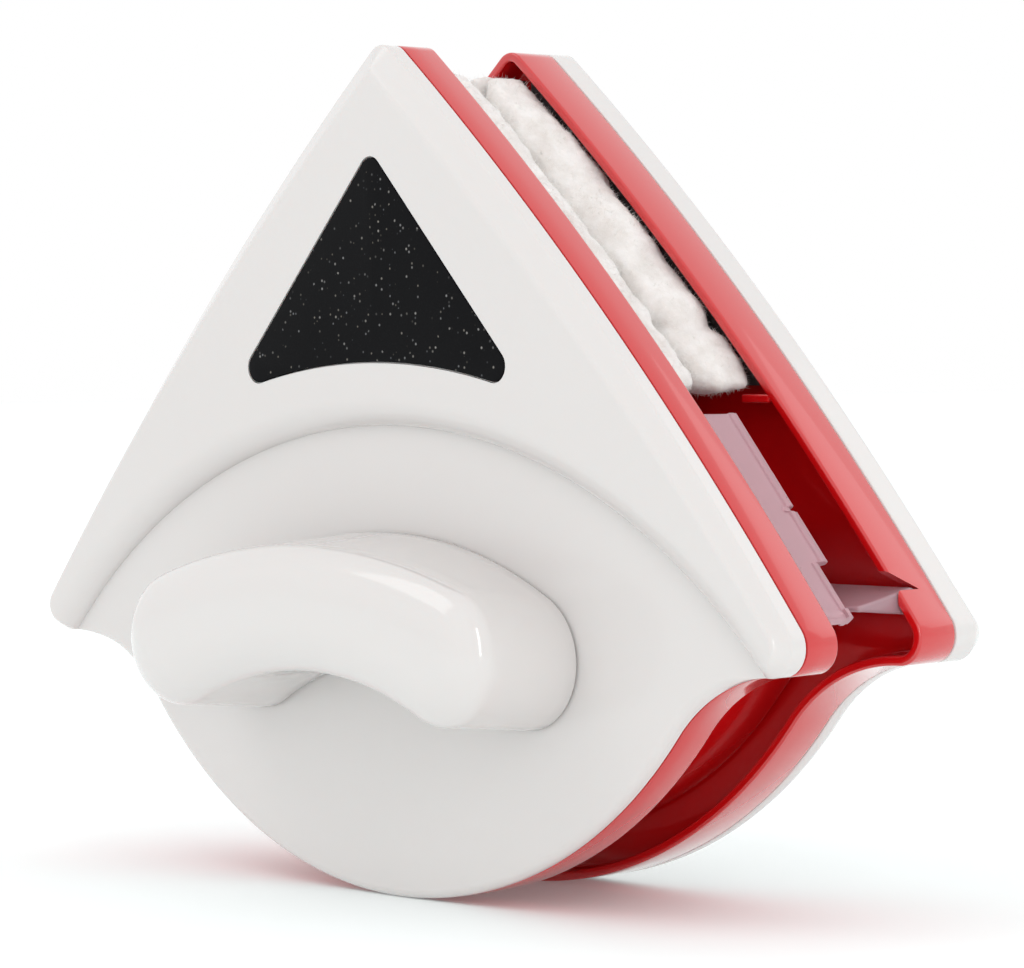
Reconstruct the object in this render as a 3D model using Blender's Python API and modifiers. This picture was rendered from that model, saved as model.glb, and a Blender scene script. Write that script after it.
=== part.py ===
"""Two-sided magnetic window wiper, standing on the round lobes of its two halves.

The halves face each other across the plane y = 0, where the window glass goes. One half is modelled on the
-Y side and turned half round the Z axis to make the other, whose floor and cover are a little thicker.
Depths are measured from the glass plane outwards, so a depth d on the first half lies at y = -d.
Lengths are in metres, +Z is up and the lobes touch z = 0.
"""

import math

import bmesh
import bpy
from mathutils import Matrix, Vector

# Outline of a half, seen from its front.
WIDTH = 0.1800
HEIGHT = 0.1390
CORNER_HEIGHT = 0.0448
APEX_FLAT = 0.0026
SIDE_BOW = 0.0034
LOBE_RADIUS = 0.0804
FLARE_RADIUS = 0.0280
CORNER_RADIUS = 0.0045
APEX_RADIUS = 0.0035
LEAST_RADIUS = 0.0006

# Depths from the glass plane.
GLASS_GAP = 0.0004
RIM_DEPTH = 0.0093
FRAME_HEIGHT = 0.0069
FLOOR_THICKNESS = 0.0016
WALL = 0.0016
DISH_THICKNESS = 0.0023
EDGE_HEIGHT = 0.0008
CHAMFER_HEIGHT = 0.0028
CHAMFER_AT_APEX = 0.0045
CHAMFER_AT_CORNER = 0.0016
CLEARANCE = 0.0003

# Front of the cover. The crease is an arc over the middle that comes down inside each corner.
CREASE_TOP = 0.0772
CREASE_END_INSET = 0.01076
CREASE_REACH = WIDTH / 2 - CREASE_END_INSET
CREASE_RISE = CREASE_TOP - CORNER_HEIGHT
CREASE_RADIUS = (CREASE_REACH**2 + CREASE_RISE**2) / (2 * CREASE_RISE)
CREASE_CENTRE_Z = CREASE_TOP - CREASE_RADIUS
CREASE_SLOPE = 0.0022
POCKET_WALL = 0.0026
POCKET_ROOF = 0.0020
INLAY_TOP = HEIGHT - 0.0171
INLAY_CORNER = (0.0336, CREASE_TOP + 0.0078)
INLAY_TO_CREASE = 0.0104
INLAY_RADIUS = 0.0025
INLAY_THICKNESS = 0.0005
INLAY_RECESS = 0.0008

# Grip: a bean with two round ends, its middle line sagging at the ends.
GRIP_HEIGHT = 0.0230
GRIP_FILLET = 0.0045
GRIP_WALL = 0.0030
GRIP_END_X = 0.0322
GRIP_END_RADIUS = 0.0112
GRIP_Z = CORNER_HEIGHT - 0.0034
GRIP_BASE = {"end_z": GRIP_Z - 0.0009, "top": GRIP_Z + 0.0185, "hollow": GRIP_Z - 0.0032}
GRIP_FRONT = {"end_z": GRIP_Z + 0.0008, "top": GRIP_Z + 0.0173, "hollow": GRIP_Z - 0.0032}
GRIP_BOSS_X = GRIP_END_X - 0.0050
GRIP_BOSS_Z = GRIP_Z - 0.0035
GRIP_BOSS_RADIUS = 0.0038

# Wiper blades and the rods they swing on.
BLADE_Z = CORNER_HEIGHT + 0.0053
BULB_RADIUS = 0.0021
LIP_RADIUS = 0.0005
BOTTOM_ROD_DEPTH = 0.0126
SEAT_FLARE = 30.0
ROD_RADIUS = 0.0007
BLADE_END_GAP = 0.0125
BEAD_RADIUS = 0.0016
STRIP_HALF = 0.0006
SIDE_ROD_DEPTH = 0.0128
SIDE_BLADE_INSET = WALL + 0.0018
SIDE_BLADE_LOW = CORNER_HEIGHT + 0.0030
SIDE_BLADE_PROUD = 0.0020
STEP_LENGTH = 0.0135
NOTCH_WIDTH = 0.0008
NOTCH_DEPTH = 0.0014
LUG_LENGTH = 0.0025
LUG_SIZE = 0.0040

# Cotton pads and their hook-tape backings.
PAD_LOW = CORNER_HEIGHT + 0.0374
PAD_INSET = 0.0024
PAD_WIDTH = 0.0130
PAD_ROUND = 0.0030
TAPE_THICKNESS = 0.0012
STOP_THICKNESS = 0.0014
STOP_REACH = 0.0060
SIDE_BLADE_HIGH = PAD_LOW - STOP_THICKNESS - 0.0020

# Magnets, their steel backs and the housings.
HOUSING_TOP = CORNER_HEIGHT - 0.0009
HOUSING_WALL = 0.0015
HOUSING_SETBACK = 0.0080
DECK_INSET = 0.0230
DECK_LOW = BLADE_Z + 0.0069
DECK_HIGH = HEIGHT - 0.0370
DECK_DEPTH = 0.0015
LOWER_MAGNET_RADIUS = 0.0125
LOWER_MAGNET_THICKNESS = 0.0070
LOWER_MAGNET_Z = HOUSING_TOP - HOUSING_WALL - LOWER_MAGNET_RADIUS - 0.0014
MAGNET_MARGIN = 0.0008
MAGNET_ROOM = LOBE_RADIUS - HOUSING_SETBACK - HOUSING_WALL - MAGNET_MARGIN - LOWER_MAGNET_RADIUS
LOWER_MAGNET_PLACE = (math.sqrt(MAGNET_ROOM**2 - (LOBE_RADIUS - LOWER_MAGNET_Z) ** 2), LOWER_MAGNET_Z)
CENTRE_MAGNET_RADIUS = 0.0125
CENTRE_MAGNET_THICKNESS = 0.0060
CENTRE_MAGNET_Z = DECK_LOW + 0.0210
YOKE_THICKNESS = 0.0020
YOKE_HALF_LENGTH = 0.0350
YOKE_LOW = LOWER_MAGNET_PLACE[1] - 0.0075
YOKE_HIGH = LOWER_MAGNET_PLACE[1] + 0.0095

# Screws.
HEAD_RADIUS = 0.0030
HEAD_THICKNESS = 0.0014
SHANK_RADIUS = 0.0015
SCREW_INSET = 0.0190
SCREW_SIDE_Z = CREASE_TOP + 0.0058
SCREW_TOP_Z = HEIGHT - 0.0290
FRAME_SCREW_BITE = 0.0030
GRIP_SCREW_BITE = 0.0120
BOSS_RADIUS = 0.0034

# Cord lug on the frame's wall, beside the lobe, its angle measured from +X about the lobe's centre.
CORD_LUG_ANGLE = -124.0
CORD_LUG_WIDTH = 0.0044
CORD_LUG_HEIGHT = 0.0045
CORD_LUG_HOLE = 0.0010

# How much thicker the frame's floor and the cover are on the far half.
FAR_FLOOR_EXTRA = 0.0014
FAR_COVER_EXTRA = 0.0016

# Depths that follow from the sizes above.
FRAME_BACK = RIM_DEPTH + FRAME_HEIGHT
FLOOR_DEPTH = FRAME_BACK - FLOOR_THICKNESS
COVER_BACK = FRAME_BACK + CLEARANCE
DISH_DEPTH = COVER_BACK + DISH_THICKNESS
CHAMFER_DEPTH = DISH_DEPTH + EDGE_HEIGHT
FACE_DEPTH = CHAMFER_DEPTH + CHAMFER_HEIGHT
GRIP_FOOT = DISH_DEPTH + CLEARANCE
GRIP_FACE = GRIP_FOOT + GRIP_HEIGHT
OVERRUN = 0.0020

# Finishes: colour, roughness and metallic value.
WHITE = ((0.82, 0.81, 0.80), 0.22, 0.0)
BLACK = ((0.006, 0.006, 0.007), 0.55, 0.0)
RED = ((0.55, 0.004, 0.005), 0.25, 0.0)
SILICONE = ((0.62, 0.42, 0.46), 0.35, 0.0)
COTTON = ((0.80, 0.76, 0.74), 0.95, 0.0)
TAPE = ((0.08, 0.08, 0.08), 0.85, 0.0)
STEEL = ((0.55, 0.56, 0.57), 0.30, 1.0)
NICKEL = ((0.66, 0.64, 0.60), 0.18, 1.0)


def arc(centre, radius, start, end, count):
    """Points on a circle in the (x, z) plane from one angle to another, in degrees, both ends included."""
    points = []
    for step in range(count + 1):
        angle = math.radians(start + (end - start) * step / count)
        points.append((centre[0] + radius * math.cos(angle), centre[1] + radius * math.sin(angle)))
    return points


def direction(start, end):
    """Angle in degrees of the line from one point to another."""
    return math.degrees(math.atan2(end[1] - start[1], end[0] - start[0]))


def meeting(first, first_radius, second, second_radius, side):
    """The point where two circles meet, on the left (+1) or right (-1) of the line between their centres."""
    line = Vector(second) - Vector(first)
    span = line.length
    along = (span * span + first_radius**2 - second_radius**2) / (2 * span)
    across = math.sqrt(first_radius**2 - along**2) * side
    unit = line / span
    return (
        first[0] + along * unit.x - across * unit.y,
        first[1] + along * unit.y + across * unit.x,
    )


def side_circle(low_inset=0.0, high_inset=0.0):
    """Centre and radius of the bowed side edge, moved in by its own amount at the corner and at the apex."""
    low = Vector((WIDTH / 2, CORNER_HEIGHT))
    high = Vector((APEX_FLAT / 2, HEIGHT))
    chord = high - low
    outward = Vector((chord.y, -chord.x)).normalized()
    low -= outward * low_inset
    high -= outward * high_inset
    chord = high - low
    outward = Vector((chord.y, -chord.x)).normalized()
    radius = chord.length_squared / (8 * SIDE_BOW) + SIDE_BOW / 2
    centre = (low + high) / 2 - outward * (radius - SIDE_BOW)
    return (centre.x, centre.y), radius


def side_x(height, inset):
    """How far from the middle the side edge is at a height, moved in by an inset."""
    centre, radius = side_circle()
    return centre[0] + math.sqrt((radius - inset) ** 2 - (height - centre[1]) ** 2)


def flare_centre():
    """Centre of the hollow curve between the corner and the lobe."""
    side, side_radius = side_circle()
    reach = side_radius - CORNER_RADIUS
    corner = (side[0] + math.sqrt(reach**2 - (CORNER_HEIGHT - side[1]) ** 2), CORNER_HEIGHT)
    lobe = (0.0, LOBE_RADIUS)
    return meeting(lobe, LOBE_RADIUS + FLARE_RADIUS, corner, CORNER_RADIUS + FLARE_RADIUS, -1)


def outline(inset=0.0, low_inset=0.0, high_inset=0.0):
    """Closed outline of a half: round apex, bowed sides, round corners, hollow flares and a round lobe."""
    side, side_radius = side_circle(low_inset, high_inset)
    side_radius -= inset
    shift = inset + min(low_inset, high_inset)
    lobe = (0.0, LOBE_RADIUS)
    flare = flare_centre()
    apex_radius = max(APEX_RADIUS - shift, LEAST_RADIUS)
    corner_radius = max(CORNER_RADIUS - shift, LEAST_RADIUS)
    apex_reach = side_radius - apex_radius
    apex = (0.0, side[1] + math.sqrt(apex_reach**2 - side[0] ** 2))
    corner = meeting(
        side, side_radius - corner_radius, flare, FLARE_RADIUS + shift + corner_radius, 1
    )
    apex_turn = direction(side, apex)
    corner_turn = direction(side, corner)
    flare_turn = direction(flare, corner)
    lobe_turn = direction(lobe, flare)
    half = arc(apex, apex_radius, 90.0, apex_turn, 3)
    half += arc(side, side_radius, apex_turn, corner_turn, 10)[1:]
    half += arc(corner, corner_radius, corner_turn, flare_turn - 180.0, 6)[1:]
    half += arc(flare, FLARE_RADIUS + shift, flare_turn, lobe_turn + 180.0, 8)[1:]
    half += arc(lobe, LOBE_RADIUS - shift, lobe_turn, -90.0, 14)[1:]
    return half + [(-x, z) for x, z in half[-2:0:-1]]


def bean(inset, end_z, top, hollow):
    """Closed outline of the grip: a long arc on top, two round ends and a hollow arc underneath."""
    end = (GRIP_END_X, end_z)
    rise = top - end_z
    top_radius = (GRIP_END_X**2 + rise**2 - GRIP_END_RADIUS**2) / (2 * (rise - GRIP_END_RADIUS))
    fall = end_z - hollow
    low_radius = (GRIP_END_X**2 + fall**2 - GRIP_END_RADIUS**2) / (2 * (GRIP_END_RADIUS - fall))
    crown = (0.0, top - top_radius)
    cup = (0.0, hollow - low_radius)
    crown_turn = direction(crown, end)
    cup_turn = direction(cup, end)
    half = arc(crown, top_radius - inset, 90.0, crown_turn, 5)
    half += arc(end, GRIP_END_RADIUS - inset, crown_turn, cup_turn - 180.0, 10)[1:]
    half += arc(cup, low_radius + inset, cup_turn, 90.0, 4)[1:]
    return half + [(-x, z) for x, z in half[-2:0:-1]]


def rounded(corners, radius, count=4):
    """A polygon with each corner rounded by an arc of the same radius."""
    points = []
    for index, corner in enumerate(corners):
        here = Vector(corner)
        before = (Vector(corners[index - 1]) - here).normalized()
        after = (Vector(corners[(index + 1) % len(corners)]) - here).normalized()
        half_angle = before.angle(after) / 2
        centre = here + (before + after).normalized() * radius / math.sin(half_angle)
        start = here + before * radius / math.tan(half_angle)
        end = here + after * radius / math.tan(half_angle)
        first = direction(centre, start)
        turn = (direction(centre, end) - first + 180.0) % 360.0 - 180.0
        points += arc(centre, radius, first, first + turn, count)
    return points


def inlay_outline(inset=0.0):
    """Closed outline of the front inlay: two straight sides and a hollow base that follows the crease."""
    base = (0.0, CREASE_CENTRE_Z)
    base_radius = CREASE_RADIUS + INLAY_TO_CREASE + inset
    top = Vector((0.0, INLAY_TOP))
    low = Vector(INLAY_CORNER)
    side = (low - top).normalized()
    outward = Vector((-side.y, side.x))
    top -= outward * inset
    low -= outward * inset
    tip = Vector((0.0, top.y - side.y * top.x / side.x))
    radius = max(INLAY_RADIUS - inset, LEAST_RADIUS)
    tip_half = math.atan2(side.x, -side.y)
    tip_centre = (0.0, tip.y - radius / math.sin(tip_half))
    level = low - outward * radius
    reach = base_radius + radius
    local = Vector(level) - Vector(base)
    along = local.dot(side)
    corner = level + side * (-along - math.sqrt(along**2 - local.length_squared + reach**2))
    side_turn = math.degrees(math.atan2(outward.y, outward.x))
    base_turn = direction(base, corner)
    half = arc(tip_centre, radius, 90.0, side_turn, 3)
    half += arc(corner, radius, side_turn, base_turn - 180.0, 6)
    half += arc(base, base_radius, base_turn, 90.0, 8)[1:]
    return half + [(-x, z) for x, z in half[-2:0:-1]]


def teardrop(bulb, lip, reach):
    """Closed blade section: a round bulb at the centre that narrows to a lip along +v."""
    lip_centre = reach - lip
    slope = math.degrees(math.asin((bulb - lip) / lip_centre))
    return arc((0, 0), bulb, 180 - slope, 360 + slope, 14) + arc((0, lip_centre), lip, slope, 180 - slope, 4)


def keyhole(bead, half, reach):
    """Closed strip section: a round bead at the centre with a thin flat strip along +v."""
    start = math.degrees(math.acos(half / bead))
    return arc((0, 0), bead, 180 - start, 360 + start, 12) + [(half, reach), (-half, reach)]


def link(obj, collection):
    bpy.data.collections[collection].objects.link(obj)
    return obj


def finish(obj, colouring):
    """Gives a piece its own Principled material."""
    colour, roughness, metallic = colouring
    material = bpy.data.materials.new(obj.name)
    material.use_nodes = True
    shader = material.node_tree.nodes["Principled BSDF"]
    shader.inputs["Base Color"].default_value = (*colour, 1.0)
    shader.inputs["Roughness"].default_value = roughness
    shader.inputs["Metallic"].default_value = metallic
    obj.data.materials.clear()
    obj.data.materials.append(material)
    return obj


def smooth(obj, angle=35.0):
    obj.data.shade_smooth()
    obj.data.set_sharp_from_angle(angle=math.radians(angle))
    return obj


def as_cutter(obj):
    """Hides a helper solid and puts it with the other cutters."""
    for collection in obj.users_collection:
        collection.objects.unlink(obj)
    link(obj, "cutters")
    obj.hide_render = True
    obj.display_type = "WIRE"
    return obj


def extruded(name, loops, thickness, matrix):
    """A solid of even thickness from closed outlines in a plane; loops after the first are holes."""
    curve = bpy.data.curves.new(name, "CURVE")
    curve.dimensions = "2D"
    curve.fill_mode = "BOTH"
    curve.extrude = thickness / 2
    for loop in loops:
        spline = curve.splines.new("POLY")
        spline.points.add(len(loop) - 1)
        for point, (across, up) in zip(spline.points, loop):
            point.co = (across, up, 0.0, 1.0)
        spline.use_cyclic_u = True
    drawn = bpy.data.objects.new(name + "_outline", curve)
    link(drawn, "cutters")
    drawn.matrix_world = matrix
    graph = bpy.context.evaluated_depsgraph_get()
    mesh = bpy.data.meshes.new_from_object(drawn.evaluated_get(graph))
    mesh.name = name
    weld(mesh)
    solid = link(bpy.data.objects.new(name, mesh), "magnetic_window_wiper")
    solid.matrix_world = matrix
    bpy.data.objects.remove(drawn)
    bpy.data.curves.remove(curve)
    return solid


def weld(mesh):
    """Joins the loose caps of a filled outline and turns its faces outwards."""
    shape = bmesh.new()
    shape.from_mesh(mesh)
    bmesh.ops.remove_doubles(shape, verts=shape.verts, dist=1e-6)
    bmesh.ops.recalc_face_normals(shape, faces=shape.faces)
    shape.to_mesh(mesh)
    shape.free()


def plate(name, loops, shallow, deep):
    """A plate parallel to the glass, between two depths of the first half."""
    turn = Matrix.Rotation(math.radians(90.0), 4, "X")
    middle = Matrix.Translation((0.0, -(shallow + deep) / 2, 0.0))
    return extruded(name, loops, deep - shallow, middle @ turn)


def loft(name, rings):
    """A solid through rings of equally many points, each ring at its own depth, with flat ends."""
    shape = bmesh.new()
    edges = []
    for depth, ring in rings:
        verts = [shape.verts.new((x, -depth, z)) for x, z in ring]
        loop = [shape.edges.new((verts[index - 1], verts[index])) for index in range(len(verts))]
        edges.append(loop)
    for lower, upper in zip(edges, edges[1:]):
        bmesh.ops.bridge_loops(shape, edges=lower + upper)
    for end in (edges[0], edges[-1]):
        bmesh.ops.contextual_create(shape, geom=end)
    bmesh.ops.recalc_face_normals(shape, faces=shape.faces)
    mesh = bpy.data.meshes.new(name)
    shape.to_mesh(mesh)
    shape.free()
    return link(bpy.data.objects.new(name, mesh), "magnetic_window_wiper")


def cylinder(name, radius, start, end, sides=32, end_radius=None):
    """A round bar, or a cone when its far radius differs, between two points."""
    start = Vector(start)
    end = Vector(end)
    mesh = bpy.data.meshes.new(name)
    shape = bmesh.new()
    bmesh.ops.create_cone(
        shape,
        cap_ends=True,
        segments=sides,
        radius1=radius,
        radius2=radius if end_radius is None else end_radius,
        depth=(end - start).length,
    )
    shape.to_mesh(mesh)
    shape.free()
    bar = link(bpy.data.objects.new(name, mesh), "magnetic_window_wiper")
    turn = (end - start).to_track_quat("Z", "Y").to_matrix().to_4x4()
    bar.matrix_world = Matrix.Translation((start + end) / 2) @ turn
    return bar


def block(name, size, centre, turn=None):
    """A box of the given size, turned by a matrix and centred on a point."""
    mesh = bpy.data.meshes.new(name)
    shape = bmesh.new()
    bmesh.ops.create_cube(shape, size=1.0)
    bmesh.ops.scale(shape, vec=size, verts=shape.verts)
    shape.to_mesh(mesh)
    shape.free()
    box = link(bpy.data.objects.new(name, mesh), "magnetic_window_wiper")
    box.matrix_world = Matrix.Translation(centre) @ (turn or Matrix.Identity(4))
    return box


def combine(obj, other, operation):
    """Adds a Boolean modifier; the other solid becomes a hidden helper."""
    modifier = obj.modifiers.new(other.name, "BOOLEAN")
    modifier.operation = operation
    modifier.solver = "EXACT"
    modifier.object = as_cutter(other)
    return obj


def cut(obj, *others):
    for other in others:
        combine(obj, other, "DIFFERENCE")
    return obj


def add(obj, *others):
    for other in others:
        combine(obj, other, "UNION")
    return obj


def apply_modifiers(obj):
    """Replaces a piece's mesh by its evaluated one and drops its modifiers and their helpers."""
    helpers = [modifier.object for modifier in obj.modifiers if modifier.type == "BOOLEAN"]
    graph = bpy.context.evaluated_depsgraph_get()
    mesh = bpy.data.meshes.new_from_object(obj.evaluated_get(graph))
    obj.modifiers.clear()
    obj.data = mesh
    mesh.name = obj.name
    for helper in helpers:
        bpy.data.objects.remove(helper)
    return obj


def bevel(obj, width, segments, angle=40.0):
    modifier = obj.modifiers.new("rounded_edges", "BEVEL")
    modifier.width = width
    modifier.segments = segments
    modifier.limit_method = "ANGLE"
    modifier.angle_limit = math.radians(angle)
    modifier.harden_normals = False
    return obj


def set_origin(obj, point):
    """Moves a piece's origin to a point without moving the piece."""
    obj.data.transform(Matrix.Translation(-Vector(point)) @ obj.matrix_world)
    obj.matrix_world = Matrix.Translation(point)
    return obj


def turned(name, profile, place, sides=20):
    """A turned piece whose axis is square to the glass: a profile of (radius, depth), deepest point first."""
    mesh = bpy.data.meshes.new(name)
    points = [(radius, 0.0, depth) for radius, depth in profile]
    mesh.from_pydata(points, [(index, index + 1) for index in range(len(points) - 1)], [])
    obj = link(bpy.data.objects.new(name, mesh), "magnetic_window_wiper")
    screw = obj.modifiers.new("turn", "SCREW")
    screw.steps = sides
    screw.render_steps = sides
    screw.use_merge_vertices = True
    screw.merge_threshold = 1e-6
    obj.matrix_world = Matrix.Translation((place[0], 0.0, place[1])) @ Matrix.Rotation(
        math.radians(90.0), 4, "X"
    )
    return obj


def hole(name, radius, place, shallow, deep, sides=20):
    """A round cutter square to the glass."""
    return cylinder(name, radius, (place[0], -shallow, place[1]), (place[0], -deep, place[1]), sides)


def frame_screw_places():
    side = side_x(SCREW_SIDE_Z, SCREW_INSET)
    return {"top": (0.0, SCREW_TOP_Z), "left": (-side, SCREW_SIDE_Z), "right": (side, SCREW_SIDE_Z)}


def grip_screw_places():
    return {"left": (-GRIP_BOSS_X, GRIP_BOSS_Z), "right": (GRIP_BOSS_X, GRIP_BOSS_Z)}


def crease_cutter():
    """A wide shallow dish that clears the lower front, with a sloping wall along the crease."""
    deep = FACE_DEPTH + OVERRUN
    slope = CREASE_SLOPE * (deep - DISH_DEPTH) / (FACE_DEPTH - DISH_DEPTH)
    return cylinder(
        "dish_cutter",
        CREASE_RADIUS,
        (0.0, -DISH_DEPTH, CREASE_CENTRE_Z),
        (0.0, -deep, CREASE_CENTRE_Z),
        120,
        CREASE_RADIUS + slope,
    )


def pocket_loop():
    """Outline of the hollow under the raised triangle, clear of the crease."""
    centre = (0.0, CREASE_CENTRE_Z)
    radius = CREASE_RADIUS + CREASE_SLOPE + POCKET_WALL
    inset = CHAMFER_AT_APEX + POCKET_WALL
    side, side_radius = side_circle()
    side_radius -= inset
    corner = meeting(side, side_radius, centre, radius, 1)
    apex = (0.0, side[1] + math.sqrt(side_radius**2 - side[0] ** 2))
    half = arc(side, side_radius, direction(side, apex), direction(side, corner), 8)
    half += arc(centre, radius, direction(centre, corner), 90.0, 8)[1:]
    return half + [(-x, z) for x, z in half[-2:0:-1]]


def make_cover():
    """White front cover: a rim, a chamfered raised triangle above the crease and a flat dish below it."""
    face = outline(0.0, CHAMFER_AT_CORNER, CHAMFER_AT_APEX)
    cover = loft(
        "cover_shell",
        [(COVER_BACK, outline()), (CHAMFER_DEPTH, outline()), (FACE_DEPTH, face)],
    )
    cut(cover, crease_cutter())
    roof = FACE_DEPTH - INLAY_RECESS - POCKET_ROOF
    cut(cover, plate("pocket_cutter", [pocket_loop()], COVER_BACK - OVERRUN, roof))
    for side, place in frame_screw_places().items():
        boss = hole("boss_" + side, BOSS_RADIUS, place, COVER_BACK, roof + CLEARANCE)
        add(cover, boss)
    recess = inlay_outline(-CLEARANCE)
    cut(cover, plate("recess_cutter", [recess], FACE_DEPTH - INLAY_RECESS, FACE_DEPTH + OVERRUN))
    for side, place in frame_screw_places().items():
        end = COVER_BACK + FRAME_SCREW_BITE + CLEARANCE
        pilot = hole("pilot_" + side, SHANK_RADIUS + CLEARANCE, place, COVER_BACK - OVERRUN, end)
        cut(cover, pilot)
    for side, place in grip_screw_places().items():
        passage = hole(
            "passage_" + side,
            SHANK_RADIUS + CLEARANCE,
            place,
            COVER_BACK - OVERRUN,
            DISH_DEPTH + OVERRUN,
        )
        cut(cover, passage)
    return finish(smooth(apply_modifiers(cover)), WHITE)


def make_inlay():
    """Black panel let into the raised triangle."""
    floor = FACE_DEPTH - INLAY_RECESS + CLEARANCE
    inlay = plate("front_inlay", [inlay_outline()], floor, floor + INLAY_THICKNESS)
    return finish(smooth(inlay), BLACK)


def grip_section(inset, part):
    """The bean at a share of the way from the dish to where the front rounding starts."""
    mix = {key: GRIP_BASE[key] + (GRIP_FRONT[key] - GRIP_BASE[key]) * part for key in GRIP_BASE}
    return bean(inset, **mix)


def make_grip():
    """Finger grip: a hollow bean with a rounded front and two screw bosses inside."""
    round_start = GRIP_FACE - GRIP_FILLET
    rings = [(GRIP_FOOT, grip_section(0.0, 0.0)), (round_start, grip_section(0.0, 1.0))]
    for step in range(1, 6):
        angle = math.radians(90.0 * step / 5)
        inset = GRIP_FILLET * (1 - math.cos(angle))
        rings.append((round_start + GRIP_FILLET * math.sin(angle), grip_section(inset, 1.0)))
    grip = loft("grip", rings)
    hollow = [
        (GRIP_FOOT - OVERRUN, grip_section(GRIP_WALL, 0.0)),
        (GRIP_FACE - GRIP_FILLET, grip_section(GRIP_WALL, 1.0)),
        (GRIP_FACE - GRIP_WALL, grip_section(GRIP_WALL + GRIP_FILLET / 2, 1.0)),
    ]
    cut(grip, loft("grip_hollow", hollow))
    for side, place in grip_screw_places().items():
        foot = GRIP_FOOT + CLEARANCE
        top = GRIP_FACE - GRIP_WALL + CLEARANCE
        add(grip, hole("grip_boss_" + side, GRIP_BOSS_RADIUS, place, foot, top))
    for side, place in grip_screw_places().items():
        end = GRIP_FOOT + GRIP_SCREW_BITE + CLEARANCE
        cut(grip, hole("grip_pilot_" + side, SHANK_RADIUS + CLEARANCE, place, GRIP_FOOT - OVERRUN, end))
    return finish(smooth(apply_modifiers(grip)), WHITE)


def side_blade_line():
    """Ends of the side blade's rod axis, low end first, at the first half's right side."""
    low = Vector((side_x(SIDE_BLADE_LOW, SIDE_BLADE_INSET), -SIDE_ROD_DEPTH, SIDE_BLADE_LOW))
    high = Vector((side_x(SIDE_BLADE_HIGH, SIDE_BLADE_INSET), -SIDE_ROD_DEPTH, SIDE_BLADE_HIGH))
    return low, high


def side_blade_turn():
    """Turns a section's u axis outwards, its v axis to the glass and its length up the side edge."""
    low, high = side_blade_line()
    along = (high - low).normalized()
    outward = Vector((along.z, 0.0, -along.x))
    turn = Matrix((outward, (0.0, 1.0, 0.0), along)).transposed()
    return turn.to_4x4()


def along_x():
    """Turns a section's u axis up, its v axis to the glass and its length along X."""
    return Matrix(((0.0, 0.0, -1.0), (0.0, 1.0, 0.0), (1.0, 0.0, 0.0))).to_4x4()


def bottom_blade_ends():
    """X of the bottom blade's ends: it runs into the wall on the left and stops short of the side blade."""
    inner_wall = side_x(BLADE_Z, WALL)
    return -(inner_wall + CLEARANCE), inner_wall - BLADE_END_GAP - CLEARANCE


def make_frame():
    """Red frame: a tray with a wall all round, blade seats, pad stops, screw holes and a cord lug."""
    frame = plate("base_frame", [outline()], RIM_DEPTH, FRAME_BACK)
    cut(frame, plate("tray_cutter", [outline(WALL)], RIM_DEPTH - OVERRUN, FLOOR_DEPTH))
    for side in (-1, 1):
        wall = side_x(PAD_LOW, WALL / 2)
        size = (STOP_REACH, FLOOR_DEPTH + CLEARANCE - RIM_DEPTH, STOP_THICKNESS)
        centre_z = PAD_LOW - CLEARANCE - STOP_THICKNESS / 2
        centre = (side * (wall - STOP_REACH / 2), -(RIM_DEPTH + size[1] / 2), centre_z)
        add(frame, block("pad_stop_%d" % side, size, centre))
    low, high = side_blade_line()
    turn = side_blade_turn()
    along = (high - low).normalized()
    lug_height = FLOOR_DEPTH + CLEARANCE - (SIDE_ROD_DEPTH - LUG_SIZE / 2)
    rise = Vector((0.0, -(FLOOR_DEPTH + CLEARANCE - lug_height / 2), 0.0))
    for end, point, way in (("high", high, along), ("low", low, -along)):
        centre = point + way * (CLEARANCE + LUG_LENGTH / 2)
        centre.y = rise.y
        add(frame, block("side_lug_" + end, (LUG_SIZE, lug_height, LUG_LENGTH), centre, turn))
    left, right = bottom_blade_ends()
    lug_height = FLOOR_DEPTH + CLEARANCE - (BOTTOM_ROD_DEPTH - LUG_SIZE / 2)
    centre = (right + CLEARANCE + LUG_LENGTH / 2, -(FLOOR_DEPTH + CLEARANCE - lug_height / 2), BLADE_Z)
    add(frame, block("bottom_lug", (LUG_LENGTH, lug_height, LUG_SIZE), centre))
    bore = ROD_RADIUS + CLEARANCE
    reach = CLEARANCE + LUG_LENGTH + CLEARANCE
    cut(frame, cylinder("side_bore", bore, low - along * reach, high + along * reach, 12))
    left_end = left - CLEARANCE
    seat = arc((0, 0), BULB_RADIUS + CLEARANCE, 180 + SEAT_FLARE, 360 - SEAT_FLARE, 8)
    mouth = BOTTOM_ROD_DEPTH - RIM_DEPTH + OVERRUN
    half_mouth = seat[-1][0] + (mouth - seat[-1][1]) * math.tan(math.radians(SEAT_FLARE))
    seat += [(half_mouth, mouth), (-half_mouth, mouth)]
    place = Matrix.Translation(((left_end + right + CLEARANCE) / 2, -BOTTOM_ROD_DEPTH, BLADE_Z))
    length = right + CLEARANCE - left_end
    cut(frame, extruded("blade_seat", [seat], length, place @ along_x()))
    start = (right, -BOTTOM_ROD_DEPTH, BLADE_Z)
    cut(frame, cylinder("bottom_bore", bore, start, (right + reach, start[1], start[2]), 12))
    add_cord_lug(frame)
    for side, place in {**frame_screw_places(), **grip_names()}.items():
        name = "screw_hole_" + side
        radius = SHANK_RADIUS + CLEARANCE
        cut(frame, hole(name, radius, place, FLOOR_DEPTH - OVERRUN, FRAME_BACK + OVERRUN))
    return finish(smooth(apply_modifiers(frame)), RED)


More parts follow.
